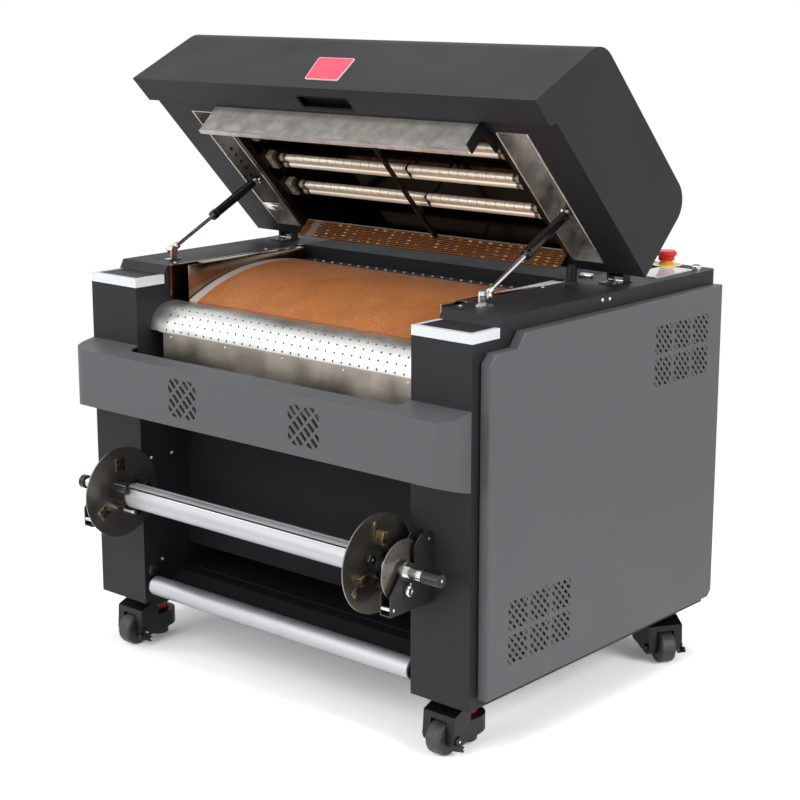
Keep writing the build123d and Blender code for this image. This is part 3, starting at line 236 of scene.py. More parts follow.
def beltFinish(pitch, halfWidth, band, fold):
    # Open glass-fibre mesh in brown fluoropolymer: painted glints scattered over it, pale sewn bands at the
    # edges
    # The weave is drawn at 4 mm, coarser than the real 1 mm threads, which would not show
    material, tree, place = newMaterial("fluoropolymerMesh")
    axes = addNode(tree, "ShaderNodeSeparateXYZ", {"Vector": place}).outputs
    across, along = wave(tree, axes["X"], pitch), wave(tree, axes["Y"], pitch)
    weave = addNode(tree, "ShaderNodeMath", {0: across, 1: along}, operation="MULTIPLY")
    thread = addNode(tree, "ShaderNodeMapRange", {
        "Value": weave.outputs[0], "From Min": -1.0, "From Max": 1.0})
    threads = addNode(tree, "ShaderNodeMix", {
        0: thread.outputs[0], 6: linear("#a45e2d"), 7: linear("#cf8248")}, data_type="RGBA")
    # Painted glints: small random patches mixed towards a pale orange
    spark = patches(tree, place, 3, 3.0, (0.5, 0.75), (0.0, 0.6))
    paintedBeltGlints = addNode(tree, "ShaderNodeMix", {
        0: spark, 6: threads.outputs[2], 7: linear("#ecb27a")}, data_type="RGBA")
    worn = patches(tree, place, 90, 4.0, (0.42, 0.7), (0.0, 0.45))
    mesh = addNode(tree, "ShaderNodeMix", {
        0: worn, 6: paintedBeltGlints.outputs[2], 7: linear("#965528")}, data_type="RGBA")
    side = addNode(tree, "ShaderNodeMath", {0: axes["X"]}, operation="ABSOLUTE").outputs[0]
    sewn = addNode(tree, "ShaderNodeMath", {0: side, 1: (halfWidth - band) * mm}, operation="GREATER_THAN")
    edge = addNode(tree, "ShaderNodeMath", {0: side, 1: (halfWidth - fold) * mm}, operation="GREATER_THAN")
    bandTone = addNode(tree, "ShaderNodeMix", {
        0: edge.outputs[0], 6: linear("#c9bfba"), 7: linear("#75675d")}, data_type="RGBA")
    tone = addNode(tree, "ShaderNodeMix", {
        0: sewn.outputs[0], 6: mesh.outputs[2], 7: bandTone.outputs[2]}, data_type="RGBA")
    bump = addNode(tree, "ShaderNodeBump", {
        "Height": weave.outputs[0], "Strength": 0.4, "Distance": 0.4 * mm})
    belt = addNode(tree, "ShaderNodeBsdfPrincipled", {
        "Base Color": tone.outputs[2], "Roughness": 0.5, "Specular IOR Level": 0.3,
        "Normal": bump.outputs["Normal"]})
    addNode(tree, "ShaderNodeOutputMaterial", {"Surface": belt.outputs[0]})
    return material


beltMesh = beltFinish(pitch=4, halfWidth=315, band=24, fold=2)


def heaterFinish(coatedHalf, first, pitch, coil):
    # Twin quartz tubes: a baked gold-cream reflective coat with the coil showing through, clear dark ends
    material, tree, place = newMaterial("coatedQuartz")
    axes = closedLidAxes(tree, place)
    coilLine = addNode(tree, "ShaderNodeMapRange", {
        "Value": wave(tree, axes["X"], coil), "From Min": 0.9, "From Max": 1.0})
    firstPair = machine["front"] + (first - pitch / 2) * mm
    fromFirst = addNode(tree, "ShaderNodeMath", {0: axes["Y"], 1: firstPair}, operation="SUBTRACT")
    inPair = addNode(tree, "ShaderNodeMath", {0: fromFirst.outputs[0], 1: pitch * mm},
                     operation="FLOORED_MODULO")
    frontTube = addNode(tree, "ShaderNodeMath", {0: inPair.outputs[0], 1: pitch / 2 * mm},
                        operation="LESS_THAN")
    mottle = patches(tree, place, 5, 4.0, (0.45, 0.7), (0.0, 0.5))
    marks = addNode(tree, "ShaderNodeMath", {0: coilLine.outputs[0], 1: mottle}, operation="MAXIMUM")
    marked = addNode(tree, "ShaderNodeMath", {0: marks.outputs[0], 1: frontTube.outputs[0]},
                     operation="MULTIPLY")
    coat = addNode(tree, "ShaderNodeMix", {
        0: marked.outputs[0], 6: linear("#fff4e2"), 7: linear("#cbb798")}, data_type="RGBA")
    side = addNode(tree, "ShaderNodeMath", {0: axes["X"]}, operation="ABSOLUTE")
    bare = addNode(tree, "ShaderNodeMath", {0: side.outputs[0], 1: coatedHalf * mm}, operation="GREATER_THAN")
    tone = addNode(tree, "ShaderNodeMix", {
        0: bare.outputs[0], 6: coat.outputs[2], 7: linear("#4b4238")}, data_type="RGBA")
    glass = addNode(tree, "ShaderNodeBsdfPrincipled", {
        "Base Color": tone.outputs[2], "Metallic": 0.45, "Roughness": 0.3, "Coat Weight": 0.6,
        "Coat Roughness": 0.05})
    addNode(tree, "ShaderNodeOutputMaterial", {"Surface": glass.outputs[0]})
    return material


coatedQuartz = heaterFinish(coatedHalf=285, first=200.5, pitch=81, coil=22)


def stopFinish(labelTop):
    # Contact block under the button: signal yellow, on a paler printed label disc
    material, tree, place = newMaterial("signalYellow")
    height = addNode(tree, "ShaderNodeSeparateXYZ", {"Vector": place}).outputs["Z"]
    label = addNode(tree, "ShaderNodeMath", {0: height, 1: labelTop}, operation="LESS_THAN")
    grain = addNode(tree, "ShaderNodeTexNoise", {"Vector": place, "Scale": 1 / (0.8 * mm)})
    tone = addNode(tree, "ShaderNodeMix", {
        0: label.outputs[0], 6: linear("#f0a918"), 7: linear("#efe28c")}, data_type="RGBA")
    bump = addNode(tree, "ShaderNodeBump", {
        "Height": grain.outputs["Fac"], "Strength": 0.03, "Distance": 0.1 * mm})
    paint = addNode(tree, "ShaderNodeBsdfPrincipled", {
        "Base Color": tone.outputs[2], "Roughness": 0.32, "Normal": bump.outputs["Normal"]})
    addNode(tree, "ShaderNodeOutputMaterial", {"Surface": paint.outputs[0]})
    return material


labelThickness = 3.4
signalYellow = stopFinish(labelTop=machine["base"] + (machine["deck"] + labelThickness) * mm)

corners = ("front_left", "front_right", "rear_left", "rear_right")
finishes = (
    (charcoal, "left_cabinet right_cabinet lid_shell"),
    (shadedCavityCoat, "centre_housing lower_tray"),
    (greyCoat, "front_apron apron_vents left_side_panel right_side_panel left_panel_vents right_panel_vents"),
    (opalAcrylic, "cap_lights"),
    (beltMesh, "belt_loop"),
    (blackCoat, "belt_bed lid_rails hinge_blocks lid_hinges"),
    (zincSteel, "spring_feet spring_heads"),
    (ovenSteelBeltReflection, "oven_walls"),
    (coverSteel, "infeed_cover"),
    (plateSteel, "front_plate"),
    (stripCoat, "rear_strip"),
    (panSteel, "lid_channels"),
    (reflectorSteelPaintedShade, "lid_reflector"),
    (flapSteel, "lid_flap"),
    (coatedQuartz, "heater_tubes"),
    (steatite, "heater_holders"),
    (springEnamel, "left_spring_cylinder right_spring_cylinder"),
    (groundRod, "left_spring_rod right_spring_rod take_up_shaft key_switch"),
    (satinAluminium, "take_up_tube guide_roller roller_pins"),
    (turnedNickel, "take_up_discs brake_disc"),
    (blackNylon, "take_up_chucks roller_hubs conduit castor_stems"),
    (bracketCoat, "left_take_up_bracket right_take_up_bracket"),
    (whiteAcetal, "shaft_bushing"),
    (redPlastic, "castor_rings stop_head"),
    (signalYellow, "stop_base"),
    (glossPlate, "control_plate"),
    (castorNylon, " ".join(f"{corner}_castor_fork" for corner in corners)),
    (wheelTread, " ".join(f"{corner}_castor_wheel" for corner in corners)),
)
for material, names in finishes:
    for name in names.split():
        nodes[name].data.materials.clear()
        nodes[name].data.materials.append(material)
print("stage: finishes")


# Shapes for the new pieces

def block(size, rounding=0.0, segments=2):
    work = bmesh.new()
    bmesh.ops.create_cube(work, size=1.0)
    bmesh.ops.scale(work, vec=[length * mm for length in size], verts=work.verts)
    if rounding:
        bmesh.ops.bevel(work, geom=work.edges[:], offset=rounding * mm, segments=segments, profile=0.5,
                        affect="EDGES", material=-1)
    return work


def turned(profile, steps=24):
    # spins pairs of distance and radius about Z
    work = bmesh.new()
    verts = [work.verts.new((radius * mm, 0, distance * mm)) for distance, radius in profile]
    edges = [work.edges.new(pair) for pair in zip(verts, verts[1:])]
    bmesh.ops.spin(work, geom=verts + edges, cent=(0, 0, 0), axis=(0, 0, 1), angle=2 * pi, steps=steps,
                   use_merge=True)
    bmesh.ops.remove_doubles(work, verts=work.verts, dist=0.001 * mm)
    return work


def fluted(work, steps, depth):
    # pulls every second column of a turned shape inwards
    for vert in work.verts:
        if round(atan2(vert.co.y, vert.co.x) / (2 * pi / steps)) % 2:
            vert.co.xy *= 1 - depth
    return work


def thicken(work, thickness):
    # raises every face of a flat sheet along Z, and returns the new upper face
    grown = bmesh.ops.extrude_face_region(work, geom=work.faces[:])["geom"]
    bmesh.ops.translate(work, vec=(0, 0, thickness * mm),
                        verts=[part for part in grown if isinstance(part, bmesh.types.BMVert)])
    return next(part for part in grown if isinstance(part, bmesh.types.BMFace))


def cutSheet(points, thickness):
    # a flat sheet cut to an outline in its own XY plane
    work = bmesh.new()
    work.faces.new([work.verts.new((x * mm, y * mm, 0)) for x, y in points])
    thicken(work, thickness)
    return work


def screwHead(size):
    # a low head with a socket in it, drawn with few faces because there are dozens
    return turned([(0, size), (0.3 * size, size), (0.55 * size, 0.62 * size), (0.6 * size, 0.35 * size),
                   (0.3 * size, 0.3 * size), (0.3 * size, 0)], steps=12)


def addPiece(name, parts, material, body, sharp=35):
    work = bmesh.new()
    for part, place in parts:
        bmesh.ops.transform(part, matrix=place, verts=part.verts)
        bmesh.ops.recalc_face_normals(part, faces=part.faces)
        shape = bpy.data.meshes.new("shape")
        part.to_mesh(shape)
        part.free()
        work.from_mesh(shape)
        bpy.data.meshes.remove(shape)
    mesh = bpy.data.meshes.new(name)
    work.to_mesh(mesh)
    work.free()
    mesh.shade_smooth()
    mesh.set_sharp_from_angle(angle=radians(sharp))
    for finish in material if isinstance(material, list) else [material]:
        mesh.materials.append(finish)
    piece = bpy.data.objects.new(name, mesh)
    bpy.context.scene.collection.objects.link(piece)
    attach(piece, body)
    return piece


# Perforated infeed cover: a flat sheet with its holes, rolled over the quarter round
cover = {"width": 690, "radius": 49, "axis": (83, 548.5), "flange": 18, "sheet": 2, "hole": 4.6, "rim": 0.25,
         "trim": 0.1, "columnPitch": 20.7, "rowPitch": 15.4, "firstRow": 4.5, "rows": 5, "columns": 30,
         "seam": 0.2, "longest": 6}


def perforatedCover(width, radius, axis, flange, sheet, hole, rim, trim, columnPitch, rowPitch, firstRow,
                    rows, columns, seam, longest):
    outerArc = radius * pi / 2
    firstColumn = (width - (columns - 1) * columnPitch) / 2
    edges = (-hole / 2, hole / 2)  # each hole lies between two cuts each way
    acrossCuts = [0.0] + [firstColumn + k * columnPitch + edge for k in range(columns) for edge in edges]
    acrossCuts += [width]
    alongCuts = [0.0] + [firstRow + k * rowPitch + edge for k in range(rows) for edge in edges]
    alongCuts += [outerArc - seam, outerArc + flange]
    acrossCount, alongCount = len(acrossCuts) - 1, len(alongCuts) - 1
    work = bmesh.new()
    bmesh.ops.create_grid(work, x_segments=acrossCount, y_segments=alongCount, size=0.5)
    holes = []
    for face in work.faces:
        centre = face.calc_center_median()
        column = round((centre.x + 0.5) * acrossCount - 0.5)
        row = round((centre.y + 0.5) * alongCount - 0.5)
        if column % 2 and row % 2 and row < 2 * rows:
            holes.append(face)
    for vert in work.verts:
        column = round((vert.co.x + 0.5) * acrossCount)
        row = round((vert.co.y + 0.5) * alongCount)
        vert.co.x, vert.co.y = acrossCuts[column] * mm, alongCuts[row] * mm
    bmesh.ops.inset_individual(work, faces=holes, thickness=rim * mm, use_even_offset=True)
    rims = list({edge for face in holes for edge in face.edges})
    bmesh.ops.subdivide_edges(work, edges=rims, cuts=1)
    holes = [face for face in work.faces if len(face.verts) == 8]  # squares with eight corners now
    for face in holes:
        centre = face.calc_center_median()
        for vert in face.verts:
            vert.co = centre + (vert.co - centre).normalized() * (hole / 2 - trim) * mm
    bmesh.ops.delete(work, geom=holes, context="FACES")
    longEdges = [edge for edge in work.edges if abs(edge.verts[0].co.y - edge.verts[1].co.y) > longest * mm]
    bmesh.ops.subdivide_edges(work, edges=longEdges, cuts=2, use_grid_fill=True)
    for vert in work.verts:
        turn = min(vert.co.y / (radius * mm), pi / 2)
        past = max(vert.co.y - outerArc * mm, 0.0)  # the flat flange behind the round
        vert.co = Vector((vert.co.x - width / 2 * mm, (axis[0] - radius * cos(turn)) * mm + past,
                          (axis[1] + radius * sin(turn)) * mm))
    bmesh.ops.recalc_face_normals(work, faces=work.faces)
    if sum(face.normal.z for face in work.faces) < 0:
        bmesh.ops.reverse_faces(work, faces=work.faces)
    bmesh.ops.solidify(work, geom=work.faces[:], thickness=sheet * mm)
    return work


coverPiece = addPiece("perforatedCover", [(perforatedCover(**cover), at(0, 0, 0))], coverSteel, "base")
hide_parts("infeed_cover")
print("stage: infeed cover")

# Stitched front edge of the belt: copper-brown thread over the fold
stitches = {"pitch": 4.0, "half": 290, "size": (1.5, 4.5, 1.2), "line": (109.5, 600.2)}
stitchCount = int(2 * stitches["half"] / stitches["pitch"])
addPiece("beltStitches", [
    (block(stitches["size"]), at(-stitches["half"] + k * stitches["pitch"], *stitches["line"]))
    for k in range(stitchCount + 1)], mouldedPlastic("copperThread", "#c98250", 0.45), "base")

# Polished liner beside the belt's edge, its brown base colour a painted reflection of the belt: an upright
# and its flange, each by its limits across, behind and above
liner = {"rounding": 0.3, "sheets": (((316.5, 318), (110, 430), (590, 666.4)),
                                     ((316.5, 341.7), (155, 430), (664.9, 666.4)))}
linerParts = []
for side in (-1, 1):
    for sheet in liner["sheets"]:
        across, behind, above = [(least + most) / 2 for least, most in sheet]
        linerParts.append((block([most - least for least, most in sheet], liner["rounding"]),
                           at(side * across, behind, above)))
addPiece("beltLiners", linerParts, ovenSteelBeltReflection, "base")

# Screws that show on the body: walls, sides, deck, the strip behind the belt and the front plate
screws = {"size": 3.4, "wall": ((25.6, 294.2), (78.5, 294.4), (46.3, 82.1)),
          "side": ((364.2, 657.2), (386.4, 656.4)), "deck": ((351.5, 355.4), (358.1, 112.8)),
          "strip": {"size": 3.0, "first": -297, "pitch": 24.3, "count": 25, "line": (444, 640)},
          "plate": {"size": 2.6, "first": -300, "pitch": 150, "count": 5, "line": (45, 537)}}
screwPlaces = []
for side, name, inwards, outwards in sides:
    screwPlaces += [at(side * machine["innerWall"], *spot) @ inwards for spot in screws["wall"]]
    screwPlaces += [at(side * machine["outerWall"], *spot) @ outwards for spot in screws["side"]]
    screwPlaces += [at(side * x, behind, machine["deck"]) for x, behind in screws["deck"]]
bodyScrews = [(screwHead(screws["size"]), place) for place in screwPlaces]
for row, facing in ((screws["strip"], Matrix()), (screws["plate"], toFront)):
    bodyScrews += [(screwHead(row["size"]), at(row["first"] + k * row["pitch"], *row["line"]) @ facing)
                   for k in range(row["count"])]
addPiece("bodyScrews", bodyScrews, screwZincAndPaintedGlint, "base")

# Round blanking plug on the inner face of each column
plug = {"place": (22.3, 65.5), "profile": ((0, 13), (2.2, 12.6), (3.8, 10), (4.4, 0))}
addPiece("columnPlugs", [
    (turned(plug["profile"]), at(side * machine["innerWall"], *plug["place"]) @ inwards)
    for side, name, inwards, outwards in sides], mouldedPlastic("plugNylon", "#2c2c2e", 0.3), "base")
print("stage: body pieces")

# Lid badge: a bare pink parallelogram with a pale edge, in the plane of the lid's front
badge = {"low": (-48, 33, 29), "high": (-79, 11, 109), "thickness": 2.2, "corner": 3.5, "border": 1.4}
lidFront = {"foot": (0, 6, -16), "run": 64, "rise": 199, "sunk": 0.1}  # the face rises 199 mm over 64 of run


def badgePlate(low, high, thickness, corner, border):
    work = bmesh.new()
    outline = [(low[0], low[2]), (low[1], low[2]), (high[1], high[2]), (high[0], high[2])]
    work.faces.new([work.verts.new((x * mm, s * mm, 0)) for x, s in outline])
    bmesh.ops.bevel(work, geom=work.verts[:], offset=corner * mm, segments=4, profile=0.5, affect="VERTICES",
                    material=-1)
    top = thicken(work, thickness)
    for face in work.faces:
        face.material_index = 1
    bmesh.ops.inset_region(work, faces=[top], thickness=border * mm, use_even_offset=True)
    top.material_index = 0
    return work


lean = Matrix.Rotation(atan2(lidFront["rise"], lidFront["run"]), 4, "X")
badgePlace = inLid(*lidFront["foot"]) @ lean @ moved(0, 0, -lidFront["sunk"])
addPiece("lidBadge", [(badgePlate(**badge), badgePlace)], [badgePink, badgeEdge], "lid")

# Handle cup in the lip, near black inside as painted shade of the hollow, with a thin rim
cup = {"rim": (130, 33), "mouth": 3.6, "depth": 13, "corner": 5, "wall": 0.8}
cupPlace = inLid(0, 45, -16.5)  # half a millimetre below the lip


def handleCup(rim, mouth, depth, corner, wall):
    work = bmesh.new()
    bmesh.ops.create_grid(work, x_segments=1, y_segments=1, size=0.5)
    bmesh.ops.scale(work, vec=(rim[0] * mm, rim[1] * mm, 1), verts=work.verts)
    bmesh.ops.bevel(work, geom=work.verts[:], offset=corner * mm, segments=3, profile=0.5, affect="VERTICES",
                    material=-1)
    floorFace = work.faces[:]
    bmesh.ops.inset_region(work, faces=floorFace, thickness=mouth * mm, use_even_offset=True)
    raised = bmesh.ops.extrude_discrete_faces(work, faces=floorFace)["faces"]
    bmesh.ops.translate(work, vec=(0, 0, depth * mm), verts=raised[0].verts)
    bmesh.ops.recalc_face_normals(work, faces=work.faces)
    bmesh.ops.solidify(work, geom=work.faces[:], thickness=wall * mm)
    return work


addPiece("handleCup", [(handleCup(**cup), cupPlace)], cupBlackAndShade, "lid")

# Black bar that crosses the window with its saddle, and the gusset at the flap's right end
bar = {"x": 16, "width": 7, "depth": 8, "rise": 9, "play": 2, "rounding": 1.2, "saddle": (16, 22, 12),
       "saddleRounding": 2, "saddlePlace": (16, 372, 12)}
barSize = (bar["width"], lid["windowRear"] - lid["windowFront"] - 2 * bar["play"], bar["depth"])
gusset = {"outline": ((80, -1), (80, -58), (102, -58), (102, -24), (112, -15), (150, -13), (150, -1)),
          "thickness": 3, "x": 332.3}
onEdge = Matrix(((0, 0, 1, 0), (1, 0, 0, 0), (0, 1, 0, 0), (0, 0, 0, 1)))  # the outline reads as run and rise
addPiece("windowBar", [
    (block(barSize, bar["rounding"]), inLid(bar["x"], windowMiddle, bar["rise"])),
    (block(bar["saddle"], bar["saddleRounding"]), inLid(*bar["saddlePlace"])),
    (cutSheet(gusset["outline"], gusset["thickness"]), inLid(gusset["x"], 0, 0) @ onEdge)],
    blackCoat, "lid")

# Hems with painted highlights, near-white strips: under the flap and along the window's rear edge, then on
# each rail and each lip
hems = {"across": (((663, 1.0, 5.0), (91.5, -61.4)), ((664, 2.6, 1.6), (446.5, 14.4))),
        "along": (((1.2, 338, 1.0), 346.8), ((1.6, 338, 1.2), 412.6)), "rise": -0.5}
hemParts = [(block(size), inLid(0, *line)) for size, line in hems["across"]]
for side in (-1, 1):
    hemParts += [(block(size), inLid(side * x, windowMiddle, hems["rise"])) for size, x in hems["along"]]
addPiece("hemsWithPaintedHighlight", hemParts, brightSteelAndPaintedHighlight, "lid")

# Screen behind the window, with rows of painted glints and a pale stripe near its left end
screen = {"size": (664, 1.4, 41), "behind": 446.8, "low": -27.4}
screenLook = {"rib": 4.6, "glintAcross": 24.3, "glintDown": 8.2, "paleStripeInner": 292, "paleStripeOuter": 312}


def screenFinish(rib, glintAcross, glintDown, paleStripeInner, paleStripeOuter):
    # Brown coated mesh seen at a slant: dark and light ribs, with rows of painted glints that come and go
    # The ribs are drawn at 4.6 mm, coarser than the mesh, which would not show
    material, tree, place = newMaterial("ribbedScreen")
    axes = closedLidAxes(tree, place)
    ribTone = addNode(tree, "ShaderNodeMapRange", {
        "Value": wave(tree, axes["Z"], rib), "From Min": -0.4, "From Max": 0.8})
    ribs = addNode(tree, "ShaderNodeMix", {
        0: ribTone.outputs[0], 6: linear("#241208"), 7: linear("#a0663a")}, data_type="RGBA")
    # Painted glints: rows of pale dots mixed into the colour, some faded out by patches
    across = addNode(tree, "ShaderNodeMapRange", {
        "Value": wave(tree, axes["X"], glintAcross), "From Min": 0.3, "From Max": 0.6})
    down = addNode(tree, "ShaderNodeMapRange", {
        "Value": wave(tree, axes["Z"], glintDown), "From Min": 0.2, "From Max": 0.7})
    some = patches(tree, place, 14, 3.0, (0.45, 0.62))
    dots = addNode(tree, "ShaderNodeMath", {0: across.outputs[0], 1: down.outputs[0]}, operation="MULTIPLY")
    glints = addNode(tree, "ShaderNodeMath", {0: dots.outputs[0], 1: some}, operation="MULTIPLY")
    mesh = addNode(tree, "ShaderNodeMix", {
        0: glints.outputs[0], 6: ribs.outputs[2], 7: linear("#f0cf9c")}, data_type="RGBA")
    # A pale stripe near the left end
    past = addNode(tree, "ShaderNodeMath", {0: axes["X"], 1: -paleStripeInner * mm}, operation="LESS_THAN")
    before = addNode(tree, "ShaderNodeMath", {0: axes["X"], 1: -paleStripeOuter * mm}, operation="GREATER_THAN")
    seam = addNode(tree, "ShaderNodeMath", {0: past.outputs[0], 1: before.outputs[0]}, operation="MULTIPLY")
    tone = addNode(tree, "ShaderNodeMix", {
        0: seam.outputs[0], 6: mesh.outputs[2], 7: linear("#8f7a74")}, data_type="RGBA")
    coated = addNode(tree, "ShaderNodeBsdfPrincipled", {
        "Base Color": tone.outputs[2], "Metallic": 0.3, "Roughness": 0.35, "Specular IOR Level": 0.3})
    addNode(tree, "ShaderNodeOutputMaterial", {"Surface": coated.outputs[0]})
    return material


screenMiddle = screen["low"] + screen["size"][2] / 2
addPiece("rearScreen", [(block(screen["size"]), inLid(0, screen["behind"], screenMiddle))],
         screenFinish(**screenLook), "lid")

# Pans: cable holes in their outer walls, as thin dark discs that are painted shade, and the left one's cross
# plate with its pad
panHoles = {"profile": ((0, 3.5), (0.5, 3.5), (0.5, 0)), "x": 413.4, "rise": 19,
            "runs": (242, 260, 280, 301, 321)}
addPiece("panHoleShade", [
    (turned(panHoles["profile"], 20), inLid(side * panHoles["x"], run, panHoles["rise"]) @ inwards)
    for side, name, inwards, outwards in sides for run in panHoles["runs"]], blackNylon, "lid")
crossPlates = (((48, 22, 1.6), 0.5, (-389, 395.5, 0.4)), ((30, 9, 1.2), 0.4, (-388, 395.5, -0.9)))
addPiece("panCrossPlates", [(block(size, rounding), inLid(*place)) for size, rounding, place in crossPlates],
         brightSteelAndPaintedHighlight, "lid")

# Wire clips that hold each pair of tubes, and the terminals at their ends
heaters = {"runs": (200.5, 281.5, 362.5), "rise": 34, "clipX": 35, "clip": (3.5, 36, 18),
           "hanger": (3.5, 5, 46), "hangerRise": 31, "endX": 306, "end": (2, 40, 24), "half": 9, "capX": 300,
           "cap": ((0, 8.4), (7, 8.4), (9, 6), (12, 6), (12, 0)), "screwX": 325, "screwDrop": 10,
           "screw": 2.6}
clipParts, capParts, terminalScrews = [], [], []
for run in heaters["runs"]:
    clipParts.append((block(heaters["clip"], 1.6), inLid(heaters["clipX"], run, heaters["rise"])))
    clipParts.append((block(heaters["hanger"], 1),
                      inLid(heaters["clipX"], run, heaters["rise"] + heaters["hangerRise"])))
    for side, name, inwards, outwards in sides:
        clipParts.append((block(heaters["end"], 0.8), inLid(side * heaters["endX"], run, heaters["rise"])))
        for tube in (run - heaters["half"], run + heaters["half"]):
            capParts.append((turned(heaters["cap"], 16),
                             inLid(side * heaters["capX"], tube, heaters["rise"]) @ inwards))
            terminalScrews.append((screwHead(heaters["screw"]), inLid(
                side * heaters["screwX"], tube, heaters["rise"] - heaters["screwDrop"]) @ toFloor))
addPiece("heaterClips", clipParts, blackCoat, "lid")
addPiece("heaterCaps", capParts, steatite, "lid")
addPiece("terminalScrews", terminalScrews, zincSteel, "lid")
print("stage: lid pieces")

# Gas springs: collar at the cylinder's mouth, bright socket at each end, and the stud and screws of the foot
spring = {"side": 393, "foot": (136, 687), "head": (375.5, 806), "mouth": 123.5,
          "collar": ((0, 4.4), (0, 8.2), (1.2, 9.7), (9, 9.9), (10.5, 9.3), (12, 9.9), (13, 9.3), (13, 4.4)),
          "footSocket": ((7, 4.3), (7, 6.4), (9, 6.9), (18, 6.9), (20, 5.4), (20, 4.3)),
          "headSocket": ((-15.5, 4.8), (-15.5, 6.6), (-13.5, 7.2), (-7, 7.2), (-7, 4.8)),
          "stud": ((0, 0), (0, 5.6), (1.5, 6.4), (4, 6.4), (5.2, 4.6), (6, 4.6), (7, 3), (7, 0)),
          "studOut": 6, "screw": 2.8, "screwIn": 9, "screwReach": 11, "footSheet": 3}
springWay = Vector((0, spring["head"][0] - spring["foot"][0], spring["head"][1] - spring["foot"][1]))
springTurn = springWay.to_track_quat("Z", "Y").to_matrix().to_4x4()
for side, name, inwards, outwards in sides:
    along = at(side * spring["side"], *spring["foot"]) @ springTurn
    headEnd = at(side * spring["side"], *spring["head"]) @ springTurn
    addPiece(f"{name}SpringCollar", [(turned(spring["collar"]), along @ moved(0, 0, spring["mouth"]))],
             springEnamel, f"{name}_cylinder")
    addPiece(f"{name}SpringHeadSocket", [(turned(spring["headSocket"]), headEnd)], zincSteel,
             f"{name}_cylinder")
    addPiece(f"{name}SpringFootSocket", [(turned(spring["footSocket"]), along)], zincSteel, f"{name}_rod")
    footParts = [(turned(spring["stud"], 6),
                  at(side * (spring["side"] + spring["studOut"]), *spring["foot"]) @ outwards)]
    for reach in (-spring["screwReach"], spring["screwReach"]):
        footParts.append((screwHead(spring["screw"]), at(
            side * (spring["side"] - spring["screwIn"]), spring["foot"][0] + reach,
            machine["deck"] + spring["footSheet"])))
    addPiece(f"{name}SpringStud", footParts, zincSteel, "base")

# Hinges: bright pin ends, the edge of the leaf and its screws, and a saddle clip beside the conduit
hingeParts = []
leaf = {"x": 421.5, "pin": (492.3, 686), "pinReach": 20,
        "pinEnd": ((0, 3.9), (1.2, 3.9), (1.8, 2.6), (1.8, 0)), "edge": (34, 1.6, 2.2),
        "edgeLine": (482.5, 672), "screw": 2.8, "screwReach": 12, "screwRuns": (462, 475), "sheet": 2.5,
        "saddle": (26, 12, 7), "saddlePlace": (345, 500, 670.5)}
for side in (-1, 1):
    for end, way in ((-1, toLeft), (1, toRight)):
        hingeParts.append((turned(leaf["pinEnd"], 16),
                           at(side * leaf["x"] + end * leaf["pinReach"], *leaf["pin"]) @ way))
    hingeParts.append((block(leaf["edge"], 0.5), at(side * leaf["x"], *leaf["edgeLine"])))
    for behind in leaf["screwRuns"]:
        for reach in (-leaf["screwReach"], leaf["screwReach"]):
            hingeParts.append((screwHead(leaf["screw"]),
                               at(side * leaf["x"] + reach, behind, machine["deck"] + leaf["sheet"])))
hingeParts.append((block(leaf["saddle"], 2), at(*leaf["saddlePlace"])))
addPiece("hingePins", hingeParts, zincSteel, "base")

# Corrugated conduit on its hexagon nut
conduit = {"place": (372, 415), "low": 8, "waist": 8.4, "pitch": 4.0, "rings": 7,
           "ring": ((0.5, 8.4), (1.2, 10), (2.9, 10), (3.6, 8.4)), "mouth": ((36, 7.4), (30, 7.0), (30, 0)),
           "nut": ((0, 0), (0, 14), (6.5, 14), (8, 12.4), (8, 0))}
conduitProfile = [(conduit["low"], 0), (conduit["low"], conduit["waist"])]
for k in range(conduit["rings"]):
    low = conduit["low"] + k * conduit["pitch"]
    conduitProfile += [(low + step, radius) for step, radius in conduit["ring"]]
conduitProfile += conduit["mouth"]
conduitPlace = at(*conduit["place"], machine["deck"])
conduitPiece = addPiece("corrugatedConduit", [
    (turned(conduitProfile), conduitPlace), (turned(conduit["nut"], 6), conduitPlace)],
    blackNylon, "base")
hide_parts("conduit")

# Key switch: black barrel with its slot, and the screws of the plate beside it
key = {"barrel": ((-0.4, 0), (-0.4, 7.4), (0.5, 7.2), (0.5, 1.6), (-0.2, 1.4), (-0.2, 0)),
       "place": (450, 712, 675), "slot": (9.5, 2.0, 1.1), "slotRise": 0.4}
keyPlace = at(*key["place"])
addPiece("keyBarrel", [(turned(key["barrel"], 28), keyPlace),
                       (block(key["slot"], 0.3), keyPlace @ moved(0, 0, key["slotRise"]))],
         blackNylon, "base")
plate = {"centre": (419.5, 634.5, 669), "corners": ((-26, -57), (26, -57), (26, 57)), "screw": 2.0}
addPiece("plateScrews", [
    (screwHead(plate["screw"]), at(*plate["centre"]) @ moved(x, y, 0))
    for x, y in plate["corners"]], zincSteel, "base")
print("stage: springs, hinges and controls")

# Take-up: the shaft's place behind and above, and the faces that pieces sit on
takeUp = {"place": (-62, 247), "leftDisc": -330.75, "rightDisc": 325.25, "brakeDisc": 382, "bracket": 392.75,
          "tubeMiddle": 13.4}


def onDisc(face, proud, turn, radius):
    # a place on a disc, with local X along the shaft and Y outwards along the radius
    spoke = Matrix.Rotation(radians(turn), 4, "X")
    return at(takeUp[face] + proud, *takeUp["place"]) @ spoke @ moved(0, radius, 0)
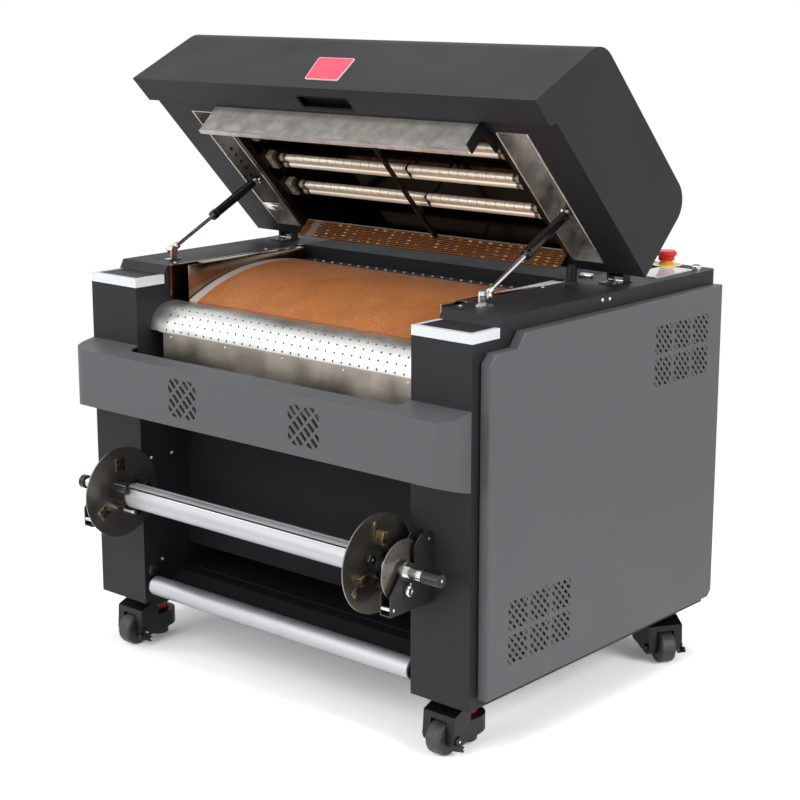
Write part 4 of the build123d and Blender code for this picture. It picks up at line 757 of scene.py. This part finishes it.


# Slide pads with their dimples and slit, drawn as thin dark pieces that are painted shade, and the fins on
# the right disc: face, height, radius, size, rounding
pads = {"turns": (94, 214, 334), "plates": (("leftDisc", 0.4, 55, (0.9, 26, 22), 0.3),
                                            ("rightDisc", 0.7, 61, (1.4, 30, 13), 0.4)),
        "dimple": ((0, 3.2), (0.3, 3.0), (0.3, 0)), "dimpleProud": 0.85, "dimpleRadii": (49, 61),
        "dimpleSides": (-5.5, 5.5), "slit": ("leftDisc", 1.0, 55, (0.5, 27, 1.8)),
        "hole": ((0, 2.6), (0.4, 2.6), (0.4, 0)), "holeProud": 1.4, "holeRadius": 63}
fins = {"count": 4, "pitch": 4.2, "first": -6, "behind": 14, "proud": 5.5, "radii": (44, 46),
        "sizes": ((11, 24, 1.3), (11, 21, 1.3))}
padParts, dimpleShadeParts, finParts = [], [], []
for turn in pads["turns"]:
    for face, proud, radius, size, rounding in pads["plates"]:
        padParts.append((block(size, rounding), onDisc(face, proud, turn, radius)))
    # Dimples, slit and holes: thin dark discs and a strip laid on the faces, painted shade of the recesses
    for radius in pads["dimpleRadii"]:
        for across in pads["dimpleSides"]:
            dimpleShadeParts.append((turned(pads["dimple"], 14), onDisc(
                "leftDisc", pads["dimpleProud"], turn, radius) @ moved(0, 0, across) @ toRight))
    face, proud, radius, size = pads["slit"]
    dimpleShadeParts.append((block(size), onDisc(face, proud, turn, radius)))
    dimpleShadeParts.append((turned(pads["hole"], 14),
                        onDisc("rightDisc", pads["holeProud"], turn, pads["holeRadius"]) @ toRight))
    for k in range(fins["count"]):
        finPlace = onDisc("rightDisc", fins["proud"], turn - fins["behind"], fins["radii"][k % 2])
        finParts.append((block(fins["sizes"][k % 2], 0.3),
                         finPlace @ moved(0, 0, k * fins["pitch"] + fins["first"])))

# Jaws that grip a core, with a bright insert on each left one and a screw on each right one
jaws = {"turns": (30, 150, 270), "blocks": (("leftDisc", 23, 31.5, (46, 11, 14), 2.5),
                                            ("rightDisc", 7, 33, (14, 14, 16), 3)),
        "insert": (30, 5.5, 1.4), "insertProud": 25, "insertRadius": 31.5, "insertSide": -7,
        "screw": 2.2, "screwProud": 14, "screwRadius": 33}
jawParts, insertParts = [], []
for turn in jaws["turns"]:
    for face, proud, radius, size, rounding in jaws["blocks"]:
        jawParts.append((block(size, rounding), onDisc(face, proud, turn, radius)))
    insertPlace = onDisc("leftDisc", jaws["insertProud"], turn, jaws["insertRadius"])
    insertParts.append((block(jaws["insert"], 0.4), insertPlace @ moved(0, 0, jaws["insertSide"])))
    insertParts.append((screwHead(jaws["screw"]),
                        onDisc("rightDisc", jaws["screwProud"], turn, jaws["screwRadius"]) @ toRight))

# Painted shade of a slot along the tube, a thin dark strip, with a painted highlight strip along its edge,
# turned up and to the front
paintedSlotLine = {"turn": 130, "radius": 24.0, "size": (616, 0.5, 3.4), "edge": (616, 0.6, 1.3), "edgeSide": 2.6}
paintedSlotPlace = onDisc("tubeMiddle", 0, paintedSlotLine["turn"], paintedSlotLine["radius"])
addPiece("paintedShadeOfSlot", [(block(paintedSlotLine["size"], 0.1), paintedSlotPlace)], blackNylon, "take_up")
addPiece("paintedHighlightOnSlot", [(block(paintedSlotLine["edge"], 0.2), paintedSlotPlace @ moved(0, 0, paintedSlotLine["edgeSide"]))],
         brightSteelAndPaintedHighlight, "take_up")
addPiece("discPads", padParts, brassPad, "take_up")
addPiece("discDimplesPaintedShade", dimpleShadeParts, blackNylon, "take_up")
addPiece("chuckJaws", jawParts, blackNylon, "take_up")
addPiece("jawInserts", insertParts, brightSteelAndPaintedHighlight, "take_up")
addPiece("discFins", finParts, brassPad, "take_up")
# Holes in the brake disc, as thin dark discs laid on it: painted shade
brakeHoleShade = {"profile": ((0, 1.6), (0.25, 1.6), (0.25, 0)), "radius": 48, "step": 30}
addPiece("brakeHoleShade", [
    (turned(brakeHoleShade["profile"], 10), onDisc("brakeDisc", 0, turn, brakeHoleShade["radius"]) @ toRight)
    for turn in range(0, 360, brakeHoleShade["step"])], blackNylon, "take_up")

# Cap and screw at the end of the right grip
grip = {"x": 465, "screwX": 465.2, "screw": 2.6,
        "cap": ((-37, 11.4), (-37, 11.9), (-34, 11.9), (-33, 11.6), (-1.5, 11.6), (0, 11.0), (0.8, 9.6),
                (0.8, 6.4), (0.2, 6.0), (0.2, 0))}
addPiece("gripCap", [(turned(grip["cap"], 32), at(grip["x"], *takeUp["place"]) @ toRight)], blackNylon,
         "take_up")
addPiece("gripScrew", [(screwHead(grip["screw"]), at(grip["screwX"], *takeUp["place"]) @ toRight)], zincSteel,
         "take_up")

# Brackets: screws by place and size, a spacer pin near the foot, and the clamp knobs
bracket = {"screws": ((-8, 292.5, 2.6), (-55.3, 224, 2.0), (-98.4, 189.0, 3.2)),
           "pin": ((-18.5, 0), (-18.5, 4), (0, 4), (0, 0)), "pinPlace": (390.3, -103, 191),
           "knob": ((0, 0), (0, 6), (2, 6.4), (2, 9.2), (9, 9.4), (10.5, 8.2), (10.5, 4), (9.5, 3.6),
                    (9.5, 0)), "knobPlace": (-66, 216),
           "leftKnob": ((0, 0), (0, 8), (4, 10), (12, 10), (14, 8), (14, 0)), "leftKnobPlace": (-66, 212)}
bracketParts = []
for side, name, inwards, outwards in sides:
    for behind, above, size in bracket["screws"]:
        bracketParts.append((screwHead(size), at(side * takeUp["bracket"], behind, above) @ outwards))
    x, behind, above = bracket["pinPlace"]
    bracketParts.append((turned(bracket["pin"], 20), at(side * x, behind, above) @ outwards))
addPiece("bracketScrews", bracketParts, zincSteel, "base")
knobShape = fluted(turned(bracket["knob"], 32), 32, 0.12)
addPiece("brakeKnob", [(knobShape, at(takeUp["bracket"], *bracket["knobPlace"]) @ toRight)], groundRod,
         "base")
leftKnobShape = fluted(turned(bracket["leftKnob"], 16), 16, 0.15)
addPiece("leftBracketKnob", [(leftKnobShape, at(-takeUp["bracket"], *bracket["leftKnobPlace"]) @ toLeft)],
         blackNylon, "base")
print("stage: take-up")

# Castors: brake lever, axle caps and bolt heads, each castor by its place across and behind and its heading
castors = {"front_left": (-403, 80, -90), "front_right": (403, 80, -90), "rear_left": (-403, 665, -33),
           "rear_right": (403, 665, -33)}
castor = {"axle": (62, 31), "half": 35, "lever": (34, 6, 11), "leverMove": (4, 37.5, -11), "leverTilt": -24,
          "rightCap": ((0, 8.5), (5, 8), (6.5, 5.5), (6.5, 0)), "leftCap": ((0, 9.5), (3, 9), (3, 0)),
          "leverScrew": 3.2, "leverScrewMove": (-9, 40.4, -15), "boltScrew": 2.4, "boltMove": (0, 3, 0)}
for name, (x, behind, heading) in castors.items():
    axle = (at(x, behind, -100) @ Matrix.Rotation(radians(heading), 4, "Z")
            @ moved(castor["axle"][0], 0, castor["axle"][1]))
    leftOut = moved(0, castor["half"], 0) @ toRear
    rightOut = moved(0, -castor["half"], 0) @ toFront
    tilt = Matrix.Rotation(radians(castor["leverTilt"]), 4, "Y")
    addPiece(f"{name}_brakeLever", [
        (block(castor["lever"], 2.2), axle @ moved(*castor["leverMove"]) @ tilt),
        (turned(castor["rightCap"], 20), axle @ rightOut), (turned(castor["leftCap"], 20), axle @ leftOut)],
        castorNylon, f"{name}_fork")
    addPiece(f"{name}_axleBolt", [
        (screwHead(castor["leverScrew"]), axle @ moved(*castor["leverScrewMove"]) @ toRear),
        (screwHead(castor["boltScrew"]), axle @ moved(*castor["boltMove"]) @ leftOut)],
        zincSteel, f"{name}_fork")
print("stage: castors")

# Camera, at the place and height that the photo was taken from
cameraView = {"place": (2.23846, -2.50522, 1.31078), "turn": 41.07, "down": 12.48, "lens": 80.58,
              "sensor": 36, "shift": (0.00335, -0.03315)}
camera = bpy.data.objects.new("camera", bpy.data.cameras.new("camera"))
bpy.context.scene.collection.objects.link(camera)
camera.location = cameraView["place"]
camera.rotation_euler = (radians(90 - cameraView["down"]), 0, radians(cameraView["turn"]))
camera.data.lens = cameraView["lens"]
camera.data.sensor_width = cameraView["sensor"]
camera.data.shift_x, camera.data.shift_y = cameraView["shift"]
bpy.context.scene.camera = camera
bpy.context.scene.view_settings.view_transform = "Standard"

# White studio: soft lamps by place, size and power, and a white background
studio = {"floor": 40.0, "aim": (0, 0, 0.6), "ambient": 0.26, "tint": (0.94, 0.96, 1.0, 1), "lamps": (
    ("keyLamp", (0.6, -3.6, 3.0), (2.6, 2.0), 52.0),
    ("frontLamp", (-0.9, -4.2, 1.3), (2.6, 1.4), 60.0),
    ("sideLamp", (4.2, 0.1, 2.4), (2.2, 2.4), 112.0),
    ("leftLamp", (-3.6, -2.2, 2.6), (2.0, 2.4), 32.0),
    ("topLamp", (0.0, 0.4, 4.4), (3.0, 3.0), 56.0),
)}
for name, place, size, power in studio["lamps"]:
    light = bpy.data.lights.new(name, "AREA")
    light.shape = "RECTANGLE"
    light.size, light.size_y = size
    light.energy = power
    lamp = bpy.data.objects.new(name, light)
    bpy.context.scene.collection.objects.link(lamp)
    lamp.location = place
    lamp.rotation_euler = (Vector(studio["aim"]) - Vector(place)).to_track_quat("-Z", "Y").to_euler()


def seenDirectly(tree):
    # 1 where the camera looks, straight or through metal and glass, and 0 for light on the machine
    seen = addNode(tree, "ShaderNodeLightPath").outputs
    direct = addNode(tree, "ShaderNodeMath", {0: seen["Is Camera Ray"], 1: seen["Is Glossy Ray"]},
                     operation="MAXIMUM")
    return addNode(tree, "ShaderNodeMath", {0: direct.outputs[0], 1: seen["Is Transmission Ray"]},
                   operation="MAXIMUM").outputs[0]


world = bpy.data.worlds.new("studio")
bpy.context.scene.world = world
world.use_nodes = True
air = world.node_tree
air.nodes.clear()
ambient = addNode(air, "ShaderNodeBackground", {"Color": studio["tint"], "Strength": studio["ambient"]})
white = addNode(air, "ShaderNodeBackground", {"Color": (1, 1, 1, 1), "Strength": 1.0})
sky = addNode(air, "ShaderNodeMixShader", {0: seenDirectly(air), 1: ambient.outputs[0], 2: white.outputs[0]})
addNode(air, "ShaderNodeOutputWorld", {"Surface": sky.outputs[0]})

# Floor: painted near white, it shows the shadow by the machine and runs out to plain white
floorLook = {"paint": 0.85, "shown": 1.6, "lift": 0.14, "near": 0.8, "far": 1.6}
floorPaint, floorTree, floorPlace = newMaterial("studioFloor")
distance = addNode(floorTree, "ShaderNodeVectorMath", {0: floorPlace}, operation="LENGTH")
fade = addNode(floorTree, "ShaderNodeMapRange", {
    "Value": distance.outputs["Value"], "From Min": floorLook["near"], "From Max": floorLook["far"]},
    interpolation_type="SMOOTHSTEP")
paint = addNode(floorTree, "ShaderNodeBsdfDiffuse", {"Color": [floorLook["paint"]] * 3 + [1]})
shownPaint = addNode(floorTree, "ShaderNodeBsdfDiffuse", {"Color": [floorLook["shown"]] * 3 + [1]})
lift = addNode(floorTree, "ShaderNodeEmission", {"Color": (1, 1, 1, 1), "Strength": floorLook["lift"]})
lifted = addNode(floorTree, "ShaderNodeAddShader", {0: shownPaint.outputs[0], 1: lift.outputs[0]})
plainWhite = addNode(floorTree, "ShaderNodeEmission", {"Color": (1, 1, 1, 1), "Strength": 1.0})
shown = addNode(floorTree, "ShaderNodeMixShader", {
    0: fade.outputs["Result"], 1: lifted.outputs[0], 2: plainWhite.outputs[0]})
floorMix = addNode(floorTree, "ShaderNodeMixShader", {
    0: seenDirectly(floorTree), 1: paint.outputs[0], 2: shown.outputs[0]})
addNode(floorTree, "ShaderNodeOutputMaterial", {"Surface": floorMix.outputs[0]})
floorWork = bmesh.new()
bmesh.ops.create_grid(floorWork, x_segments=1, y_segments=1, size=studio["floor"] / 2)
floorMesh = bpy.data.meshes.new("floor")
floorWork.to_mesh(floorMesh)
floorWork.free()
floorMesh.materials.append(floorPaint)
floor = bpy.data.objects.new("floor", floorMesh)
bpy.context.scene.collection.objects.link(floor)
print("stage: camera and studio")
